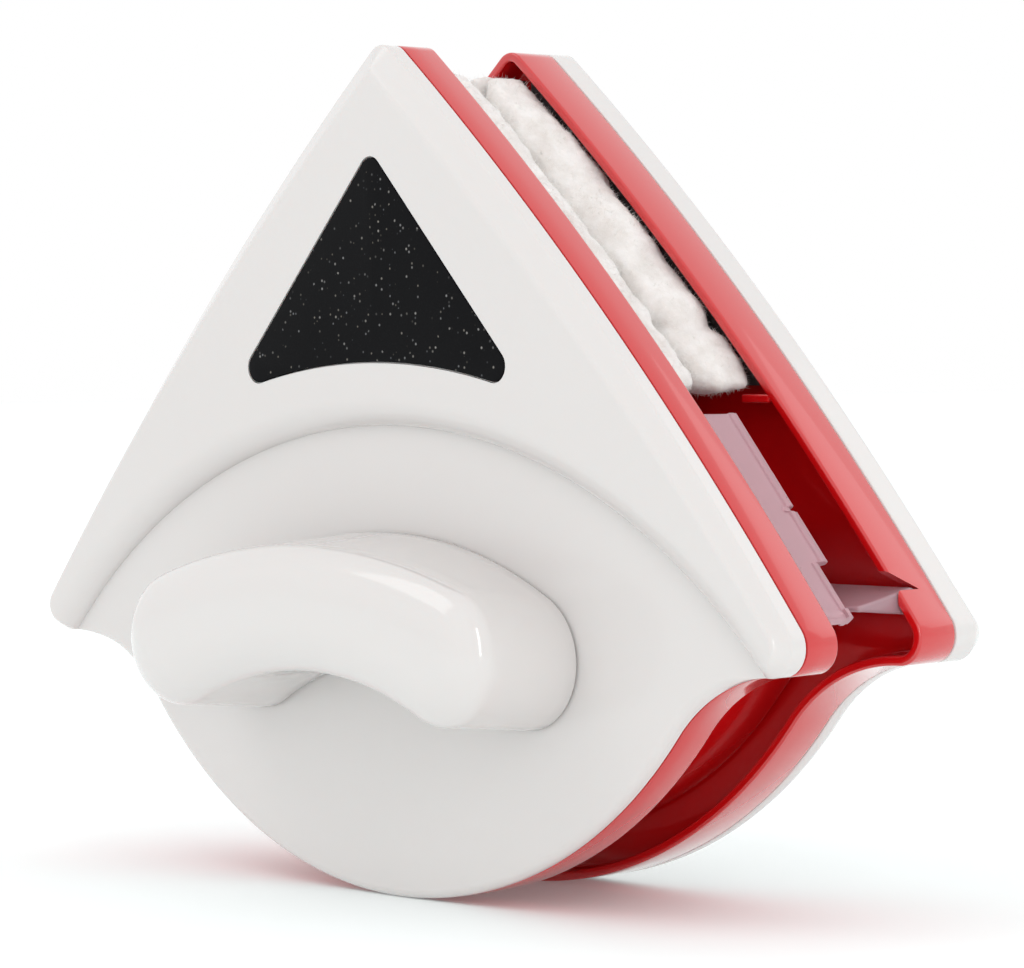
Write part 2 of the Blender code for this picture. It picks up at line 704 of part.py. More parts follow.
def add_cord_lug(frame):
    """Adds a small upright eyelet for the safety cord on the wall beside the lobe."""
    angle = math.radians(CORD_LUG_ANGLE)
    outward = Vector((math.cos(angle), 0.0, math.sin(angle)))
    turn = Matrix.Rotation(-angle, 4, "Y")
    height = CORD_LUG_HEIGHT + CLEARANCE
    middle = Vector((0.0, -RIM_DEPTH - CLEARANCE + height / 2, LOBE_RADIUS))
    middle += outward * (LOBE_RADIUS - WALL / 2)
    add(frame, block("cord_lug", (WALL - CLEARANCE, height, CORD_LUG_WIDTH), middle, turn))
    eye = middle + Vector((0.0, CLEARANCE, 0.0))
    cut(frame, cylinder("cord_eye", CORD_LUG_HOLE, eye - outward * WALL, eye + outward * WALL, 12))


def grip_names():
    return {"grip_" + side: place for side, place in grip_screw_places().items()}


def housing_loop(inset):
    """Outline of the magnet housing, which is set back from the lobe's edge."""
    return outline(HOUSING_SETBACK + inset)


def make_housing():
    """Red magnet housing that stands in the lobe up to the glass plane, open at its back."""
    back = FLOOR_DEPTH - CLEARANCE
    housing = plate("magnet_housing", [housing_loop(0.0)], GLASS_GAP, back)
    above = (WIDTH * 1.5, back + 2 * OVERRUN, HEIGHT)
    cut(housing, block("housing_trim", above, (0.0, -back / 2, HOUSING_TOP + HEIGHT / 2)))
    hollow = plate(
        "housing_hollow", [housing_loop(HOUSING_WALL)], GLASS_GAP + HOUSING_WALL, back + OVERRUN
    )
    above = (WIDTH * 1.5, back * 2, HEIGHT)
    top = HOUSING_TOP - HOUSING_WALL + HEIGHT / 2
    cut(hollow, block("hollow_trim", above, (0.0, -back, top)))
    cut(housing, apply_modifiers(hollow))
    return finish(smooth(apply_modifiers(housing)), RED)


def deck_loop(inset):
    """Outline of the centre deck between the pads: bowed sides and level ends."""
    side, radius = side_circle()
    radius -= DECK_INSET + inset
    low = DECK_LOW + inset
    high = DECK_HIGH - inset
    low_turn = math.degrees(math.asin((low - side[1]) / radius))
    high_turn = math.degrees(math.asin((high - side[1]) / radius))
    half = arc(side, radius, high_turn, low_turn, 6)
    return half + [(-x, z) for x, z in reversed(half)]


def make_deck():
    """Raised centre deck that holds the middle magnet, open at its back."""
    back = FLOOR_DEPTH - CLEARANCE
    deck = plate("centre_deck", [deck_loop(0.0)], DECK_DEPTH, back)
    cut(deck, plate("deck_hollow", [deck_loop(HOUSING_WALL)], DECK_DEPTH + HOUSING_WALL, back + OVERRUN))
    return finish(smooth(apply_modifiers(deck)), RED)


def make_magnets():
    """Disc magnets behind the glass-side walls, each with steel behind it to turn its field to the glass."""
    start = GLASS_GAP + HOUSING_WALL + CLEARANCE
    end = start + LOWER_MAGNET_THICKNESS
    pieces = []
    for side, sign in (("left", -1), ("right", 1)):
        place = (sign * LOWER_MAGNET_PLACE[0], LOWER_MAGNET_PLACE[1])
        disc = hole("lower_magnet_" + side, LOWER_MAGNET_RADIUS, place, start, end, 32)
        pieces.append(finish(smooth(disc), NICKEL))
    corners = [
        (YOKE_HALF_LENGTH, YOKE_HIGH),
        (YOKE_HALF_LENGTH, YOKE_LOW),
        (-YOKE_HALF_LENGTH, YOKE_LOW),
        (-YOKE_HALF_LENGTH, YOKE_HIGH),
    ]
    behind = end + CLEARANCE
    yoke = plate("lower_yoke", [rounded(corners, 0.003)], behind, behind + YOKE_THICKNESS)
    pieces.append(finish(smooth(yoke), STEEL))
    start = DECK_DEPTH + HOUSING_WALL + CLEARANCE
    end = start + CENTRE_MAGNET_THICKNESS
    place = (0.0, CENTRE_MAGNET_Z)
    disc = hole("centre_magnet", CENTRE_MAGNET_RADIUS, place, start, end, 32)
    pieces.append(finish(smooth(disc), NICKEL))
    behind = end + CLEARANCE
    back = hole("centre_yoke", CENTRE_MAGNET_RADIUS, place, behind, behind + YOKE_THICKNESS, 32)
    pieces.append(finish(smooth(back), STEEL))
    return pieces


def make_bottom_blade():
    """Teardrop wiper blade along the triangle's base, with the rod that it swings on."""
    left, right = bottom_blade_ends()
    middle = Vector(((left + right) / 2, -BOTTOM_ROD_DEPTH, BLADE_Z))
    section = teardrop(BULB_RADIUS, LIP_RADIUS, BOTTOM_ROD_DEPTH - GLASS_GAP)
    bore = arc((0, 0), ROD_RADIUS + CLEARANCE, 0, 330, 11)
    matrix = Matrix.Translation(middle) @ along_x()
    blade = extruded("bottom_blade", [section, bore], right - left, matrix)
    finish(smooth(set_origin(blade, middle)), SILICONE)
    end = right + CLEARANCE + LUG_LENGTH
    start = (left, middle.y, middle.z)
    rod = cylinder("bottom_blade_rod", ROD_RADIUS, start, (end, middle.y, middle.z), 12)
    finish(smooth(rod), STEEL)
    return [blade, rod]


def make_side_blade():
    """Thin strip blade along the lower right side, with a stepped lip, and the rod that it swings on."""
    low, high = side_blade_line()
    turn = side_blade_turn()
    middle = (low + high) / 2
    along = (high - low).normalized()
    reach = SIDE_ROD_DEPTH + SIDE_BLADE_PROUD
    section = keyhole(BEAD_RADIUS, STRIP_HALF, reach)
    bore = arc((0, 0), ROD_RADIUS + CLEARANCE, 0, 330, 11)
    matrix = Matrix.Translation(middle) @ turn
    blade = extruded("side_blade", [section, bore], (high - low).length, matrix)
    step_drop = SIDE_BLADE_PROUD + GLASS_GAP
    size = (6 * STRIP_HALF, step_drop * 2, STEP_LENGTH * 2)
    centre = low + Vector((0.0, reach, 0.0))
    cut(blade, block("lip_step", size, centre, turn))
    size = (6 * STRIP_HALF, NOTCH_DEPTH * 2, NOTCH_WIDTH)
    cut(blade, block("lip_notch", size, middle + along * 0.001 + Vector((0.0, reach, 0.0)), turn))
    apply_modifiers(blade)
    finish(smooth(set_origin(blade, middle)), SILICONE)
    reach = CLEARANCE + LUG_LENGTH
    rod = cylinder("side_blade_rod", ROD_RADIUS, low - along * reach, high + along * reach, 12)
    finish(smooth(rod), STEEL)
    return [blade, rod]


def pad_loop(inset, side):
    """Outline of a pad on one side (-1 left, +1 right): a band under the side edge, mitred at the apex."""
    centre, radius = side_circle()
    outer = radius - PAD_INSET - inset
    inner = outer - PAD_WIDTH + 2 * inset
    low = PAD_LOW + inset
    gap = CLEARANCE + inset
    outer_low = math.degrees(math.asin((low - centre[1]) / outer))
    inner_low = math.degrees(math.asin((low - centre[1]) / inner))
    outer_high = math.degrees(math.acos((gap - centre[0]) / outer))
    inner_high = math.degrees(math.acos((gap - centre[0]) / inner))
    loop = arc(centre, outer, outer_high, outer_low, 8) + arc(centre, inner, inner_low, inner_high, 6)
    return [(side * x, z) for x, z in loop]


def make_pads():
    """Cotton pads under both upper side edges, each on a strip of hook tape."""
    tape_back = FLOOR_DEPTH - CLEARANCE
    pad_back = tape_back - TAPE_THICKNESS - CLEARANCE
    pieces = []
    for side, sign in (("left", -1), ("right", 1)):
        tape = plate("pad_tape_" + side, [pad_loop(0.001, sign)], tape_back - TAPE_THICKNESS, tape_back)
        pieces.append(finish(smooth(tape), TAPE))
        pad = plate("cotton_pad_" + side, [pad_loop(0.0, sign)], GLASS_GAP, pad_back)
        bevel(pad, PAD_ROUND, 2)
        pieces.append(finish(smooth(apply_modifiers(pad), 60.0), COTTON))
    return pieces


def make_screws():
    """Pan-head screws: three hold the frame to the cover, two reach through both into the grip."""
    head = FLOOR_DEPTH - CLEARANCE
    top = head - HEAD_THICKNESS
    kinds = [("frame_screw_", frame_screw_places(), COVER_BACK + FRAME_SCREW_BITE)]
    kinds.append(("grip_screw_", grip_screw_places(), GRIP_FOOT + GRIP_SCREW_BITE))
    pieces = []
    for kind, places, tip in kinds:
        profile = [(0.0, tip), (SHANK_RADIUS * 0.5, tip), (SHANK_RADIUS, tip - SHANK_RADIUS)]
        profile += [(SHANK_RADIUS, head), (HEAD_RADIUS, head), (HEAD_RADIUS, top + 0.0005)]
        profile += [(HEAD_RADIUS * 0.8, top), (0.0, top)]
        for side, place in places.items():
            screw = apply_modifiers(turned(kind + side, profile, place))
            pieces.append(finish(smooth(screw), STEEL))
    return pieces


def make_half():
    """All pieces of one half, on the -Y side."""
    pieces = [make_cover(), make_inlay(), make_grip(), make_frame(), make_housing(), make_deck()]
    pieces += make_magnets()
    pieces += make_bottom_blade()
    pieces += make_side_blade()
    pieces += make_pads()
    pieces += make_screws()
    return pieces


def parent_empty(name, place):
    empty = bpy.data.objects.new(name, None)
    empty.location = place
    return link(empty, "magnetic_window_wiper")


def ramp(value, start, end):
    """0 before start, 1 after end and straight between them."""
    return min(max((value - start) / (end - start), 0.0), 1.0)


def deepen(piece):
    """Thickens the far floor and cover: what lies behind the floor's inner face moves away from the glass.

    The far grip is shorter by as much, so that both halves reach equally far out.
    """
    place = piece.matrix_world.copy()
    piece.data = piece.data.copy()
    for vert in piece.data.vertices:
        point = place @ vert.co
        extra = FAR_FLOOR_EXTRA * ramp(point.y, FLOOR_DEPTH, FRAME_BACK)
        extra += FAR_COVER_EXTRA * ramp(point.y, COVER_BACK, DISH_DEPTH)
        extra *= 1.0 - ramp(point.y, FACE_DEPTH, GRIP_FACE)
        point.y += extra
        vert.co = place.inverted() @ point


def twin(piece):
    """The same piece on the other half: turned half round the Z axis, and moved or stretched by its depth."""
    copy = piece.copy()
    copy.name = "far_" + piece.name
    copy.matrix_world = Matrix.Rotation(math.pi, 4, "Z") @ piece.matrix_world
    if max((copy.matrix_world @ Vector(corner)).y for corner in piece.bound_box) > FLOOR_DEPTH + CLEARANCE:
        deepen(copy)
    return link(copy, "magnetic_window_wiper")


def main():
    for obj in list(bpy.data.objects):
        bpy.data.objects.remove(obj)
    for name in ("magnetic_window_wiper", "cutters"):
        collection = bpy.data.collections.new(name)
        bpy.context.scene.collection.children.link(collection)
    near = parent_empty("near_half", (0.0, -FRAME_BACK, LOBE_RADIUS))
    far = parent_empty("far_half", (0.0, FRAME_BACK, LOBE_RADIUS))
    bpy.context.view_layer.update()
    for piece in make_half():
        other = twin(piece)
        piece.name = "near_" + piece.name
        for child, parent in ((piece, near), (other, far)):
            placed = child.matrix_world.copy()
            child.parent = parent
            child.matrix_parent_inverse = parent.matrix_world.inverted()
            child.matrix_world = placed


main()
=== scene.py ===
"""Finished surfaces and materials of the two-sided magnetic window wiper, laid out as an add-on.

Lengths are in metres, +Z is up, and the glass plane is y = 0. Depths are measured from that plane outwards.
Every piece is worked out for the near half, on the -Y side, and turned half round the Z axis for the far
half, whose floor and cover are a little thicker.
"""

import math

import bmesh
import bpy
import numpy as np
from mathutils import Matrix, Vector


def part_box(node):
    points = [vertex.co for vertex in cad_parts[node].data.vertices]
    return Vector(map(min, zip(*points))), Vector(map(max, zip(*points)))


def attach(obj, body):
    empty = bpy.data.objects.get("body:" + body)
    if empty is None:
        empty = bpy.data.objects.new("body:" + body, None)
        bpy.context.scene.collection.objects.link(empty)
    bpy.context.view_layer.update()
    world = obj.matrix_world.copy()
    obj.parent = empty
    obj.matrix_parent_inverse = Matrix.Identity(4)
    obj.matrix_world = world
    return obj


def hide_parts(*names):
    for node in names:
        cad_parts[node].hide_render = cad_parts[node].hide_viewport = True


bl_info = {
    "name": "Magnetic Window Wiper",
    "version": (1, 0, 0),
    "blender": (4, 5, 0),
    "location": "View3D > Sidebar > Window Wiper",
    "description": "Builds the finished surfaces of a two-sided magnetic window wiper round its frame",
    "category": "Add Mesh",
}

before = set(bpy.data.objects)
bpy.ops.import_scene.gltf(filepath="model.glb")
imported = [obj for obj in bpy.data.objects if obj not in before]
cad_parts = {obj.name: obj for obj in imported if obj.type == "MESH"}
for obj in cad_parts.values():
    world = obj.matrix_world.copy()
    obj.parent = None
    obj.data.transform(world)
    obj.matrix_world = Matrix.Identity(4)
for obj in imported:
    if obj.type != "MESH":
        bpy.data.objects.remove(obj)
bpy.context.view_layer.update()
HALVES = ("near", "far")

# Depths read from the frame, and the outline's height and width before its corners are rounded.
COVER_LOW, COVER_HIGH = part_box("near_cover_shell")
GRIP_LOW, GRIP_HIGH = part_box("near_grip")
BLADE_LOW, BLADE_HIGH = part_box("near_bottom_blade")
FACE_DEPTH = -COVER_LOW[1]
COVER_BACK = -COVER_HIGH[1]
FRAME_BACK = -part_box("near_base_frame")[0][1]
GRIP_FACE = -GRIP_LOW[1]
GRIP_FOOT = -GRIP_HIGH[1]
FAR_FLOOR_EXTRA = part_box("far_base_frame")[1][1] - FRAME_BACK
FAR_COVER_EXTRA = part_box("far_cover_shell")[1][1] - FACE_DEPTH - FAR_FLOOR_EXTRA
HEIGHT = 0.1390
WIDTH = 0.1800


# ---------------------------------------------------------------- sizes and colours a user may change


def length(name, description, default):
    """A length that the panel shows in the scene's unit."""
    return bpy.props.FloatProperty(name=name, description=description, default=default, unit="LENGTH")


def swatch(name, description, default):
    """A colour that the panel shows as a swatch."""
    return bpy.props.FloatVectorProperty(name=name, description=description, default=default, subtype="COLOR")


class WiperShape(bpy.types.PropertyGroup):
    """Sizes of the mouldings that their boxes don't give."""

    corner_height: length("Corner height", "Height of the side corners", 0.0448)
    side_bow: length("Side bow", "How far the long sides bulge", 0.0034)
    apex_flat: length("Apex flat", "Width of the top between the sides", 0.0026)
    lobe_radius: length("Lobe radius", "Radius of the round lower edge", 0.0804)
    flare_radius: length("Flare radius", "Radius of the hollow below a corner", 0.0280)
    corner_radius: length("Corner radius", "Rounding of the side corners", 0.0045)
    apex_radius: length("Apex radius", "Rounding of the top corner", 0.0035)
    chamfer_apex: length("Chamfer at apex", "Width of the edge slope at the top", 0.0045)
    chamfer_corner: length("Chamfer at corner", "Width of the edge slope at a corner", 0.0016)
    chamfer_height: length("Chamfer height", "Depth of the edge slope", 0.0028)
    crease_top: length("Crease top", "Height of the crease at its middle", 0.0772)
    crease_radius: length("Crease radius", "Radius of the crease across the front", 0.1131)
    crease_roll: length("Crease roll", "Width of the rolled step above the crease", 0.0058)
    dish_drop: length("Dish drop", "How much lower the dish is than the face", 0.0036)
    dish_edge: length("Dish edge", "Rounding of the dish's outer edge", 0.0015)
    wall: length("Wall", "Thickness of the red frame's wall", 0.0016)
    rim_depth: length("Rim depth", "Distance of the frame's rim from the glass plane", 0.0093)
    floor_thickness: length("Floor thickness", "Thickness of the frame's floor", 0.0016)


class WiperColours(bpy.types.PropertyGroup):
    """Colours of the materials."""

    white: swatch("White", "Glossy white plastic", (0.70, 0.672, 0.66))
    red: swatch("Red", "Glossy red plastic", (0.60, 0.004, 0.006))
    black: swatch("Black", "Speckled panel", (0.004, 0.004, 0.005))
    # The pink in this colour is painted red light from the frame shining through the blades; the rubber itself
    # is milky white.
    silicone: swatch("Silicone", "Milky blade rubber", (0.86, 0.56, 0.62))
    cotton: swatch("Cotton", "Napped pad cloth", (0.88, 0.85, 0.83))


# ---------------------------------------------------------------- curves in the plane of the glass

APEX_STEPS = 10
SIDE_STEPS = 64
CORNER_STEPS = 14
FLARE_TOP_STEPS = 10
FLARE_STEPS = 28
LOBE_STEPS = 70
LEAST_RADIUS = 0.0003


def arc(centre, radius, start, end, count):
    """Points on a circle: the centre plus the radius at angles spread evenly from start to end, in degrees."""
    angles = np.radians(np.linspace(start, end, count + 1))
    return np.stack([centre[0] + radius * np.cos(angles), centre[1] + radius * np.sin(angles)], 1)


def direction(start, end):
    """Angle in degrees of the line from one point to another."""
    return math.degrees(math.atan2(end[1] - start[1], end[0] - start[0]))


def meeting(first, first_radius, second, second_radius, side):
    """Where two circles meet: along the line of centres by the cosine rule, then square to it, left for 1."""
    line = np.subtract(second, first)
    span = float(np.hypot(*line))
    along = (span * span + first_radius**2 - second_radius**2) / (2 * span)
    across = math.sqrt(first_radius**2 - along**2) * side
    unit = line / span
    return first + along * unit + across * np.array([-unit[1], unit[0]])


def side_circle():
    """Centre and radius of the bowed side, a circle through corner and apex with the bow as its rise."""
    shape = bpy.context.scene.wiper_shape
    low = np.array([WIDTH / 2, shape.corner_height])
    high = np.array([shape.apex_flat / 2, HEIGHT])
    chord = high - low
    outward = np.array([chord[1], -chord[0]]) / np.hypot(*chord)
    radius = chord @ chord / (8 * shape.side_bow) + shape.side_bow / 2
    return (low + high) / 2 - outward * (radius - shape.side_bow), radius


def side_x(height, inset):
    """How far out the side edge is at a height, moved in by an inset."""
    centre, radius = side_circle()
    return centre[0] + math.sqrt((radius - inset) ** 2 - (height - centre[1]) ** 2)


def flare_centre():
    """Centre of the hollow below the corner: it touches the lobe's circle and the corner's."""
    shape = bpy.context.scene.wiper_shape
    across = side_x(shape.corner_height, shape.corner_radius)
    lobe_reach = shape.lobe_radius + shape.flare_radius
    corner_reach = shape.corner_radius + shape.flare_radius
    return meeting((0.0, shape.lobe_radius), lobe_reach, (across, shape.corner_height), corner_reach, -1)


def crease_centre():
    """Centre of the crease's arc, straight below its top."""
    shape = bpy.context.scene.wiper_shape
    return np.array([0.0, shape.crease_top - shape.crease_radius])


def half_outline(inset=0.0):
    """Right half of the outline as two stretches that meet where the crease reaches the edge.

    Above: apex arc, bowed side, corner arc and the start of the flare. Below: the rest of the flare and the
    lobe, down to the middle. Moving the outline in takes the inset off each convex radius and adds it to
    the flare's."""
    shape = bpy.context.scene.wiper_shape
    side, side_radius = side_circle()
    side_radius -= inset
    lobe = np.array([0.0, shape.lobe_radius])
    flare = flare_centre()
    flare_radius = shape.flare_radius + inset
    apex_radius = max(shape.apex_radius - inset, LEAST_RADIUS)
    corner_radius = max(shape.corner_radius - inset, LEAST_RADIUS)
    apex = np.array([0.0, side[1] + math.sqrt((side_radius - apex_radius) ** 2 - side[0] ** 2)])
    corner = meeting(side, side_radius - corner_radius, flare, flare_radius + corner_radius, 1)
    apex_turn = direction(side, apex)
    side_turn = direction(side, corner)
    corner_turn = direction(flare, corner)
    lobe_turn = direction(lobe, flare)
    split = direction(flare, meeting(crease_centre(), shape.crease_radius, flare, shape.flare_radius, 1))
    above = [
        arc(apex, apex_radius, 90.0, apex_turn, APEX_STEPS),
        arc(side, side_radius, apex_turn, side_turn, SIDE_STEPS)[1:],
        arc(corner, corner_radius, side_turn, corner_turn - 180.0, CORNER_STEPS)[1:],
        arc(flare, flare_radius, corner_turn, split, FLARE_TOP_STEPS)[1:],
    ]
    below = [
        arc(flare, flare_radius, split, lobe_turn + 180.0, FLARE_STEPS),
        arc(lobe, shape.lobe_radius - inset, lobe_turn, -90.0, LOBE_STEPS)[1:],
    ]
    return np.concatenate(above), np.concatenate(below)


def mirrored(points):
    """The same points on the left side, in the opposite order."""
    return points[::-1] * (-1.0, 1.0)


def closed_outline(right):
    """Closed outline from its right half, which starts and ends on the middle line."""
    return np.concatenate([right, mirrored(right)[1:-1]])


def whole_outline(inset=0.0):
    """Closed outline, from the apex down the right side, round the lobe and up the left side."""
    above, below = half_outline(inset)
    return closed_outline(np.concatenate([above, below[1:]]))


def lower_edge(inset=0.0):
    """The outline below the crease, from its right end round the lobe to its left end."""
    below = half_outline(inset)[1]
    return np.concatenate([below, mirrored(below)[1:]])


def upper_edge():
    """The outline above the crease, from its left end over the apex to its right end."""
    above = half_outline()[0]
    return np.concatenate([mirrored(above)[:-1], above])


def crease_line():
    """The crease's arc from its right end to its left end, with as many points as the edge below it."""
    centre = crease_centre()
    end = direction(centre, half_outline()[1][0])
    radius = bpy.context.scene.wiper_shape.crease_radius
    return arc(centre, radius, end, 180.0 - end, 2 * (FLARE_STEPS + LOBE_STEPS))


# ---------------------------------------------------------------- grids and meshes

MERGE = 1e-6
CAD_MERGE = 2e-6
BLOCK_ROUND = 0.0003


def at_depth(points, depth):
    """Points of the glass plane carried out to a depth, on the near side."""
    depth = np.broadcast_to(depth, len(points))
    return np.stack([points[:, 0], -depth, points[:, 1]], 1)


def quarter(count):
    """A quarter circle in even steps, as pairs of one less the cosine and one less the sine."""
    turns = np.linspace(0.0, math.pi / 2, count)
    return zip(1 - np.cos(turns), 1 - np.sin(turns))


def sheet(rows, closed=True):
    """A grid's points and quads, from rows of points; a closed grid joins its last column to its first."""
    rows = np.asarray(rows, float)
    count, columns = rows.shape[:2]
    across = np.arange(columns if closed else columns - 1)
    row, column = np.meshgrid(np.arange(count - 1), across, indexing="ij")
    here = row * columns + column
    beside = row * columns + (column + 1) % columns
    quads = np.stack([here, beside, beside + columns, here + columns], 2)
    return rows.reshape(-1, 3), quads.reshape(-1, 4)


def linked(name, mesh):
    """An object for a mesh, in the scene."""
    obj = bpy.data.objects.new(name, mesh)
    bpy.context.scene.collection.objects.link(obj)
    return obj


def new_mesh(name, points, faces):
    """A mesh from arrays of points and of faces that all have the same number of corners."""
    mesh = bpy.data.meshes.new(name)
    mesh.vertices.add(len(points))
    mesh.vertices.foreach_set("co", points.astype(np.float32).ravel())
    mesh.loops.add(faces.size)
    mesh.loops.foreach_set("vertex_index", faces.astype(np.int32).ravel())
    mesh.polygons.add(len(faces))
    mesh.polygons.foreach_set("loop_start", np.arange(0, faces.size, faces.shape[1], dtype=np.int32))
    mesh.update(calc_edges=True)
    return mesh


def points_of(mesh, field="co"):
    """A mesh's points, or their normals, as rows of three."""
    values = np.empty(len(mesh.vertices) * 3, np.float32)
    mesh.vertices.foreach_get(field, values)
    return values.reshape(-1, 3)


def move_points(mesh, points):
    """Puts a mesh's points elsewhere."""
    mesh.vertices.foreach_set("co", points.astype(np.float32).ravel())
    mesh.update()


def smooth(mesh, angle):
    """Shades a mesh smooth, but for edges sharper than an angle in degrees."""
    mesh.shade_smooth()
    mesh.set_sharp_from_angle(angle=math.radians(angle))


def mesh_piece(name, sheets, angle=40.0, capped=True):
    """One mesh from grids that share their edges: doubles merged, flat ends filled, faces turned outwards."""
    starts = np.cumsum([0] + [len(points) for points, quads in sheets])
    faces = np.concatenate([quads + start for (points, quads), start in zip(sheets, starts)])
    mesh = new_mesh(name, np.concatenate([points for points, quads in sheets]), faces)
    shape = bmesh.new()
    shape.from_mesh(mesh)
    bmesh.ops.remove_doubles(shape, verts=shape.verts, dist=MERGE)
    if capped:
        open_edges = [edge for edge in shape.edges if edge.is_boundary]
        ends = bmesh.ops.holes_fill(shape, edges=open_edges, sides=0)["faces"]
        bmesh.ops.triangulate(shape, faces=ends)
    bmesh.ops.recalc_face_normals(shape, faces=shape.faces)
    shape.to_mesh(mesh)
    shape.free()
    smooth(mesh, angle)
    return linked(name, mesh)


def apply_all(obj):
    """Replaces a mesh by its evaluated one and clears its modifiers."""
    graph = bpy.context.evaluated_depsgraph_get()
    mesh = bpy.data.meshes.new_from_object(obj.evaluated_get(graph))
    obj.modifiers.clear()
    obj.data = mesh


def turned_copy(obj, name, thicker=False):
    """The same piece on the far half: turned half round the Z axis.

    A thicker copy also moves out by a share of the extra thickness: none at the floor's inner face, the
    floor's extra from its back on, and the cover's too from the dish on, with straight ramps between. From
    the face to the grip's front the shift fades out again, because the far grip is shorter by as much."""
    shape = bpy.context.scene.wiper_shape
    mesh = obj.data.copy()
    mesh.transform(Matrix.Rotation(math.pi, 4, "Z"))
    mesh.name = name
    if thicker:
        points = points_of(mesh)
        depth = points[:, 1].copy()
        floor = FRAME_BACK - shape.floor_thickness
        extra = FAR_FLOOR_EXTRA * np.clip((depth - floor) / shape.floor_thickness, 0, 1)
        cover = FACE_DEPTH - shape.dish_drop - COVER_BACK
        extra += FAR_COVER_EXTRA * np.clip((depth - COVER_BACK) / cover, 0, 1)
        points[:, 1] += extra * (1 - np.clip((depth - FACE_DEPTH) / (GRIP_FACE - FACE_DEPTH), 0, 1))
        move_points(mesh, points)
    return linked(name, mesh)


def settle(obj, body, part, material):
    """Rides a piece on a body, stands it for a CAD node and gives it its slot and material."""
    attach(obj, body)
    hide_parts(part)
    obj.data.materials.clear()
    obj.data.materials.append(bpy.data.materials[material])


def both_halves(obj, part, material, body="half", thicker=False):
    """Settles a near piece and its turned copy in place of the CAD node of that name on each half."""
    pieces = (obj, turned_copy(obj, "far_" + part + "_finished", thicker))
    for half, piece in zip(HALVES, pieces):
        settle(piece, half + "_" + body, half + "_" + part, material)
    return pieces


def merged_copy(name, flattened=False):
    """A CAD node's mesh as a new piece, its loose triangles merged and, if asked, its flat faces whole."""
    obj = linked(name + "_finished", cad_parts[name].data.copy())
    shape = bmesh.new()
    shape.from_mesh(obj.data)
    bmesh.ops.remove_doubles(shape, verts=shape.verts, dist=CAD_MERGE)
    if flattened:
        flat = math.radians(1.0)
        bmesh.ops.dissolve_limit(
            shape, angle_limit=flat, verts=shape.verts, edges=shape.edges, delimit={"NORMAL"}
        )
    shape.to_mesh(obj.data)
    shape.free()
    return obj


def bevelled_copy(name, width):
    """A CAD node's mesh with its sharp edges rounded."""
    obj = merged_copy(name, flattened=True)
    modifier = obj.modifiers.new("rounded_edges", "BEVEL")
    modifier.width = width
    modifier.segments = 3
    modifier.limit_method = "ANGLE"
    modifier.angle_limit = math.radians(35.0)
    apply_all(obj)
    smooth(obj.data, 30.0)
    return obj


def rounded_block(name, centre, size, turn=None):
    """A small moulded block with rounded edges, for joining to a bigger piece."""
    shape = bmesh.new()
    bmesh.ops.create_cube(shape, size=1.0)
    bmesh.ops.scale(shape, vec=size, verts=shape.verts)
    bmesh.ops.bevel(shape, geom=shape.edges, offset=BLOCK_ROUND, segments=2, affect="EDGES", profile=0.5)
    place = Matrix.Translation(centre) @ (turn or Matrix.Identity(4))
    bmesh.ops.transform(shape, matrix=place, verts=shape.verts)
    mesh = bpy.data.meshes.new(name)
    shape.to_mesh(mesh)
    shape.free()
    return linked(name, mesh)


def join_into(obj, others):
    """Adds other meshes to a piece as closed bodies of their own."""
    shape = bmesh.new()
    shape.from_mesh(obj.data)
    for other in others:
        mesh = other.data
        shape.from_mesh(mesh)
        bpy.data.objects.remove(other)
        bpy.data.meshes.remove(mesh)
    shape.to_mesh(obj.data)
    shape.free()
    return obj


def cut_by(obj, cutter):
    """Takes one closed mesh out of another and removes the cutter."""
    modifier = obj.modifiers.new("cut", "BOOLEAN")
    modifier.operation = "DIFFERENCE"
    modifier.solver = "EXACT"
    modifier.object = cutter
    apply_all(obj)
    bpy.data.objects.remove(cutter)
    smooth(obj.data, 40.0)
    return obj


# ---------------------------------------------------------------- materials


def fill(tree, made, inputs):
    """Sets or links a shader node's inputs, by name or number."""
    for key, value in inputs.items():
        if isinstance(value, bpy.types.NodeSocket):
            tree.links.new(value, made.inputs[key])
        else:
            made.inputs[key].default_value = value


def node(tree, kind, inputs, **settings):
    """Adds a shader node, sets its properties and fills its inputs; gives its outputs."""
    made = tree.nodes.new(kind)
    for key, value in settings.items():
        setattr(made, key, value)
    fill(tree, made, inputs)
    return made.outputs


def object_place(tree):
    """A point's place in its object."""
    return node(tree, "ShaderNodeTexCoord", {})["Object"]


def noise(tree, place, scale, detail, **more):
    """A noise texture's outputs, Fac and Color."""
    return node(tree, "ShaderNodeTexNoise", {"Vector": place, "Scale": scale, "Detail": detail, **more})


def worked(tree, operation, first, second):
    """Two values added, subtracted or multiplied."""
    return node(tree, "ShaderNodeMath", {0: first, 1: second}, operation=operation)[0]


def blend(tree, share, first, second, kind="MIX"):
    """Two colours mixed by a share."""
    return node(tree, "ShaderNodeMix", {0: share, 6: first, 7: second}, data_type="RGBA", blend_type=kind)[2]


def ramp(tree, value, low, high, first=0.0, last=1.0):
    """A value between two limits carried over to between two others."""
    return node(tree, "ShaderNodeMapRange", {0: value, 1: low, 2: high, 3: first, 4: last})[0]


def bump(tree, height, strength, distance, **settings):
    """The normal of a surface raised by a height."""
    inputs = {"Height": height, "Strength": strength, "Distance": distance}
    return node(tree, "ShaderNodeBump", inputs, **settings)["Normal"]


def shaded(colour, shares=(1.0, 1.0, 1.0)):
    """A colour whose channels are multiplied by their shares, with full alpha."""
    return (*(channel * share for channel, share in zip(colour, shares)), 1.0)


